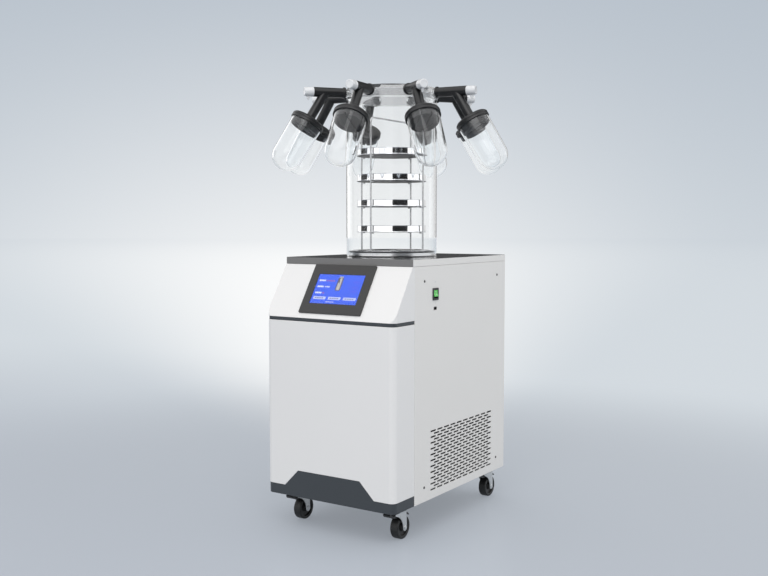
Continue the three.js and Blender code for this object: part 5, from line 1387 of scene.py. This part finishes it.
# ------------------------------------------------------------------ valve knobs
# White plastic knobs that taper a little to a rounded rim, each moulded with a seat ring at its foot, a
# dished face and a triangular pointer. Their spigots turn in the ends of the barrels.
KNOB_START, KNOB_END = BARREL_END + gap, BARREL_END + gap + 0.026
KNOB_RADIUS, KNOB_TIP = 0.0135, 0.012
POINTER_REACH, POINTER_HALF = 0.0228, 0.0024
SPIGOT_RADIUS, SPIGOT_END = 0.006, 0.2129
knob_white = finish("white_knob_plastic", (0.74, 0.75, 0.755), 0.27, grain=700.0, depth=0.05, change=0.03,
                    Coat_Weight=0.2)
turned_knob = moved(turned([
    (0, SPIGOT_END), (SPIGOT_RADIUS - 0.0006, SPIGOT_END), (SPIGOT_RADIUS, SPIGOT_END + 0.0006),
    (SPIGOT_RADIUS, KNOB_START), (KNOB_RADIUS - 0.0005, KNOB_START), (KNOB_RADIUS, KNOB_START + 0.0005),
    (KNOB_RADIUS, KNOB_START + 0.0022), (KNOB_RADIUS - 0.0009, KNOB_START + 0.0028),
    (KNOB_RADIUS - 0.0009, KNOB_START + 0.0040), (KNOB_RADIUS - 0.0002, KNOB_START + 0.0046)] + [
    (KNOB_TIP - 0.002 + 0.002 * cos(t), KNOB_END - 0.002 + 0.002 * sin(t))
    for t in (0, pi / 6, pi / 3, pi / 2)] + [
    (KNOB_TIP - 0.0038, KNOB_END), (KNOB_TIP - 0.0044, KNOB_END - 0.0007), (0, KNOB_END - 0.0007)], 64), TO_X)
pointer = outline_block([
    (-0.008, KNOB_START + 0.006), (-0.008, KNOB_END - 0.003), (-POINTER_REACH, KNOB_END - 0.010),
    (-POINTER_REACH, KNOB_END - 0.0125)], -POINTER_HALF, POINTER_HALF)
pointer = moved(worked(pointer, rounded(0.0010, 3)), SIDEWAYS)
knob = shaded(combined(turned_knob, "UNION", pointer), 35)
at_ports("white_knob", knob, knob_white, "valve_knob", "knob")


# ------------------------------------------------------------------ flasks
# Blown and tempered glass with a slight taper, a round bottom and a thickened mouth. Each flask is pushed
# over the plug of its rubber cap, which seals it and carries its weight.
FLASK_MOUTH = CAP_AT + CAP_THICKNESS + gap
FLASK_LENGTH, FLASK_RADIUS, FLASK_TAPER, FLASK_WALL = 0.1454, 0.0448, 0.0022, 0.0025
LIP_ROUND = 0.0011
flask_glass = light_through(finish(
    "flask_glass", (0.975, 0.985, 0.99), 0.025, grain=35.0, depth=0.006, change=0.01, gloss_change=0.02,
    Transmission_Weight=1.0, IOR=1.3), (0.95, 0.96, 0.97))


def flask_mesh():
    low, bottom, steps = FLASK_MOUTH + FLASK_LENGTH, FLASK_RADIUS - FLASK_TAPER, 20
    outer, inner = ([(radius * sin(pi / 2 * k / steps), low - bottom + radius * cos(pi / 2 * k / steps))
                     for k in range(steps + 1)] for radius in (bottom, bottom - FLASK_WALL))
    rim = [(FLASK_RADIUS, FLASK_MOUTH + LIP_ROUND), (FLASK_RADIUS - 0.0004, FLASK_MOUTH + 0.0003),
           (FLASK_RADIUS - LIP_ROUND, FLASK_MOUTH), (FLASK_RADIUS - FLASK_WALL + 0.0008, FLASK_MOUTH),
           (FLASK_RADIUS - FLASK_WALL, FLASK_MOUTH + 0.0008)]
    return moved(turned(outer + rim + inner[::-1], 96), ALONG_LEG)


blown = shaded(flask_mesh(), 40)
at_ports("glass_flask", blown, flask_glass, "flask")


# ------------------------------------------------------------------ castors
# Swivelling castors: a pressed and plated fork that turns under its ball race, a dark nylon wheel with a
# black tread, and a two-ended brake lever of black plastic whose shoe presses on the tread.
WHEEL_RADIUS, WHEEL_HALF, TRAIL, AXLE = 0.0315, 0.012, 0.022, 0.004
LEG_INNER, FORK_SHEET = WHEEL_HALF + 0.0025, 0.0025
LEG_OUTER = LEG_INNER + FORK_SHEET
FORK_CROWN, BRIDGE = 0.079, 0.003
RACE_TOP, RACE_RADIUS, KINGPIN = FORK_CROWN + 0.008, 0.021, 0.005
KINGPIN_TOP = 0.0932
PEDAL_PIVOT, PEDAL_PIN, PEDAL_HALF = 0.066, 0.0025, 0.011
SHOE_INNER, SHOE_OUTER = WHEEL_RADIUS + 0.0065, WHEEL_RADIUS + 0.010
castor_zinc = finish("castor_zinc", (0.60, 0.61, 0.61), 0.30, grain=220.0, depth=0.06, change=0.14,
                     gloss_change=0.2, Metallic=0.95)
tread_rubber = finish("tread_rubber", (0.0060, 0.0062, 0.0066), 0.52, grain=1300.0, depth=0.25, change=0.3)
wheel_nylon = finish("wheel_nylon", (0.018, 0.018, 0.0185), 0.42, grain=900.0, depth=0.12, change=0.1)
pedal_black = finish("pedal_plastic", (0.013, 0.013, 0.014), 0.36, grain=1000.0, depth=0.15, change=0.1)


def arc(middle_y, middle_z, radius, start, end, steps):
    """Points of an arc in the side view, from one angle to another in degrees."""
    angles = [radians(start + (end - start) * k / steps) for k in range(steps + 1)]
    return [(middle_y + radius * cos(angle), middle_z + radius * sin(angle)) for angle in angles]


def sideways(outline, low, high, edge, segments=2):
    """A shape drawn in the side view, as (y, z), and pushed out along X, with eased edges."""
    return moved(worked(outline_block(outline, low, high), rounded(edge, segments)), OUT_OF_SIDE)


def fork_mesh():
    front, back = -TRAIL - 0.001, TRAIL + 0.009
    bend = [(front, FORK_CROWN - 0.007), (TRAIL / 2, 2 * WHEEL_RADIUS - 0.001), (TRAIL - 0.009, WHEEL_RADIUS)]
    curve = [tuple((1 - t) ** 2 * a + 2 * t * (1 - t) * b + t * t * c for a, b, c in zip(*bend))
             for t in (k / 12 for k in range(13))]
    side = [(front, FORK_CROWN)] + curve + arc(TRAIL, WHEEL_RADIUS, 0.009, 180, 360, 16)[1:] + [
        (back - 0.003, FORK_CROWN)]
    legs = [sideways(side, x, x + FORK_SHEET, 0.0007) for x in (-LEG_OUTER, LEG_INNER)]
    bridge = worked(block((-LEG_OUTER, front, FORK_CROWN - BRIDGE), (LEG_OUTER, back - 0.003, FORK_CROWN)),
                    rounded(0.0007, 2))
    race = worked(turned([
        (0, FORK_CROWN - 0.001), (RACE_RADIUS - 0.002, FORK_CROWN - 0.001), (RACE_RADIUS, FORK_CROWN + 0.003),
        (RACE_RADIUS, RACE_TOP - 0.0015), (RACE_RADIUS - 0.0015, RACE_TOP), (KINGPIN, RACE_TOP),
        (KINGPIN, KINGPIN_TOP), (0, KINGPIN_TOP)], 64), rounded(0.0004, 1))
    ends = []
    for side_sign in (-1, 1):
        head = turned([(0, 0), (0.0068, 0), (0.0068, 0.0012), (0.0058, 0.0020), (0, 0.0022)], 6)
        ends.append(moved(head, TO_X, Matrix.Scale(side_sign, 4, (1, 0, 0)),
                          (side_sign * (LEG_OUTER - 0.0003), TRAIL, WHEEL_RADIUS)))
    axle = moved(rod(AXLE, -LEG_OUTER + 0.0004, LEG_OUTER - 0.0004, 24), TO_X, (0, TRAIL, WHEEL_RADIUS))
    brake_pin = moved(rod(PEDAL_PIN, -LEG_OUTER - 0.0006, LEG_OUTER + 0.0006, 20, 0.0004), TO_X,
                      (0, 0, PEDAL_PIVOT))
    return faced_out(together(legs + [bridge, race, axle, brake_pin] + ends))


def wheel_mesh():
    """The wheel about its own axle: the nylon centre, with its web set in, and the tread round it."""
    bore, hub, web, rim = 0.0043, 0.0105, 0.0060, WHEEL_RADIUS - 0.0062
    centre = worked(turned([
        (bore, -WHEEL_HALF), (hub, -WHEEL_HALF), (hub + 0.001, -web), (rim - 0.003, -web),
        (rim - 0.002, -WHEEL_HALF + 0.001), (rim, -WHEEL_HALF + 0.0006), (rim, WHEEL_HALF - 0.0006),
        (rim - 0.002, WHEEL_HALF - 0.001), (rim - 0.003, web), (hub + 0.001, web), (hub, WHEEL_HALF),
        (bore, WHEEL_HALF)], 72), rounded(0.0005, 2, 25))
    crown = [(WHEEL_RADIUS - 0.0028 + 0.0028 * cos(radians(angle)),
              -WHEEL_HALF + 0.0034 - 0.0032 * sin(radians(angle))) for angle in range(90, -1, -15)]
    tread = [(rim + 0.0001, -WHEEL_HALF + 0.0004), (WHEEL_RADIUS - 0.0035, -WHEEL_HALF + 0.0002)] + crown
    tread += [(radius, -height) for radius, height in reversed(tread)]
    return together([centre, turned(tread, 96)])


def pedal_mesh():
    lever = arc(TRAIL, WHEEL_RADIUS, SHOE_INNER, 45, 122, 14)
    lever += [(y, PEDAL_PIVOT + z) for y, z in (
        (-0.022, -0.001), (-0.041, 0.006), (-0.044, 0.012), (-0.040, 0.015), (-0.026, 0.007),
        (-0.009, 0.005))]
    lever += arc(TRAIL, WHEEL_RADIUS, SHOE_OUTER, 100, 45, 12)
    body = sideways(lever, -PEDAL_HALF, PEDAL_HALF, 0.0009)
    eye = moved(worked(rod(PEDAL_PIN + 0.0025, -LEG_INNER + gap, LEG_INNER - gap, 32), rounded(0.0005)), TO_X,
                (0, 0, PEDAL_PIVOT))
    ribs = [moved(block((-PEDAL_HALF + 0.003, -0.0005, 0), (PEDAL_HALF - 0.003, 0.0005, 0.0010)),
                  Matrix.Rotation(radians(-24.9), 4, "X"),
                  (0, y, PEDAL_PIVOT + 0.015 - (y + 0.040) * 0.571 - 0.0004))
            for y in (-0.0375, -0.0345, -0.0315)]
    hole = moved(rod(PEDAL_PIN + gap, -LEG_OUTER, LEG_OUTER, 24), TO_X, (0, 0, PEDAL_PIVOT))
    return combined(combined(body, "UNION", eye, *ribs), "DIFFERENCE", hole)


fork, pedal = shaded(fork_mesh()), shaded(pedal_mesh())
wheel = shaded(wheel_mesh(), 35)
wheel = dressed(wheel, (wheel_nylon, tread_rubber), lambda face: int(all(
    hypot(*wheel.vertices[corner].co.xy) > WHEEL_RADIUS - 0.0062 for corner in face.vertices)))
wheel = moved(wheel, TO_X, (0, TRAIL, WHEEL_RADIUS))
for place, swivel in swivels.items():
    for name, mesh, material, slot, body, solid in (
            ("fork", fork, castor_zinc, "zinc", "castor", "fork"),
            ("wheel_and_tread", wheel, None, "tyre", "wheel", "wheel"),
            ("brake_pedal", pedal, pedal_black, "pedal_plastic", "brake", "pedal")):
        piece("%s_%s" % (name, place), moved(mesh.copy(), (swivel.x, swivel.y, 0)), material,
              "%s_%s" % (body, place), ["castor_%s_%s" % (solid, place)])

# ------------------------------------------------------------------ sizes
# The box round every shown piece, in metres.
low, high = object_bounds()
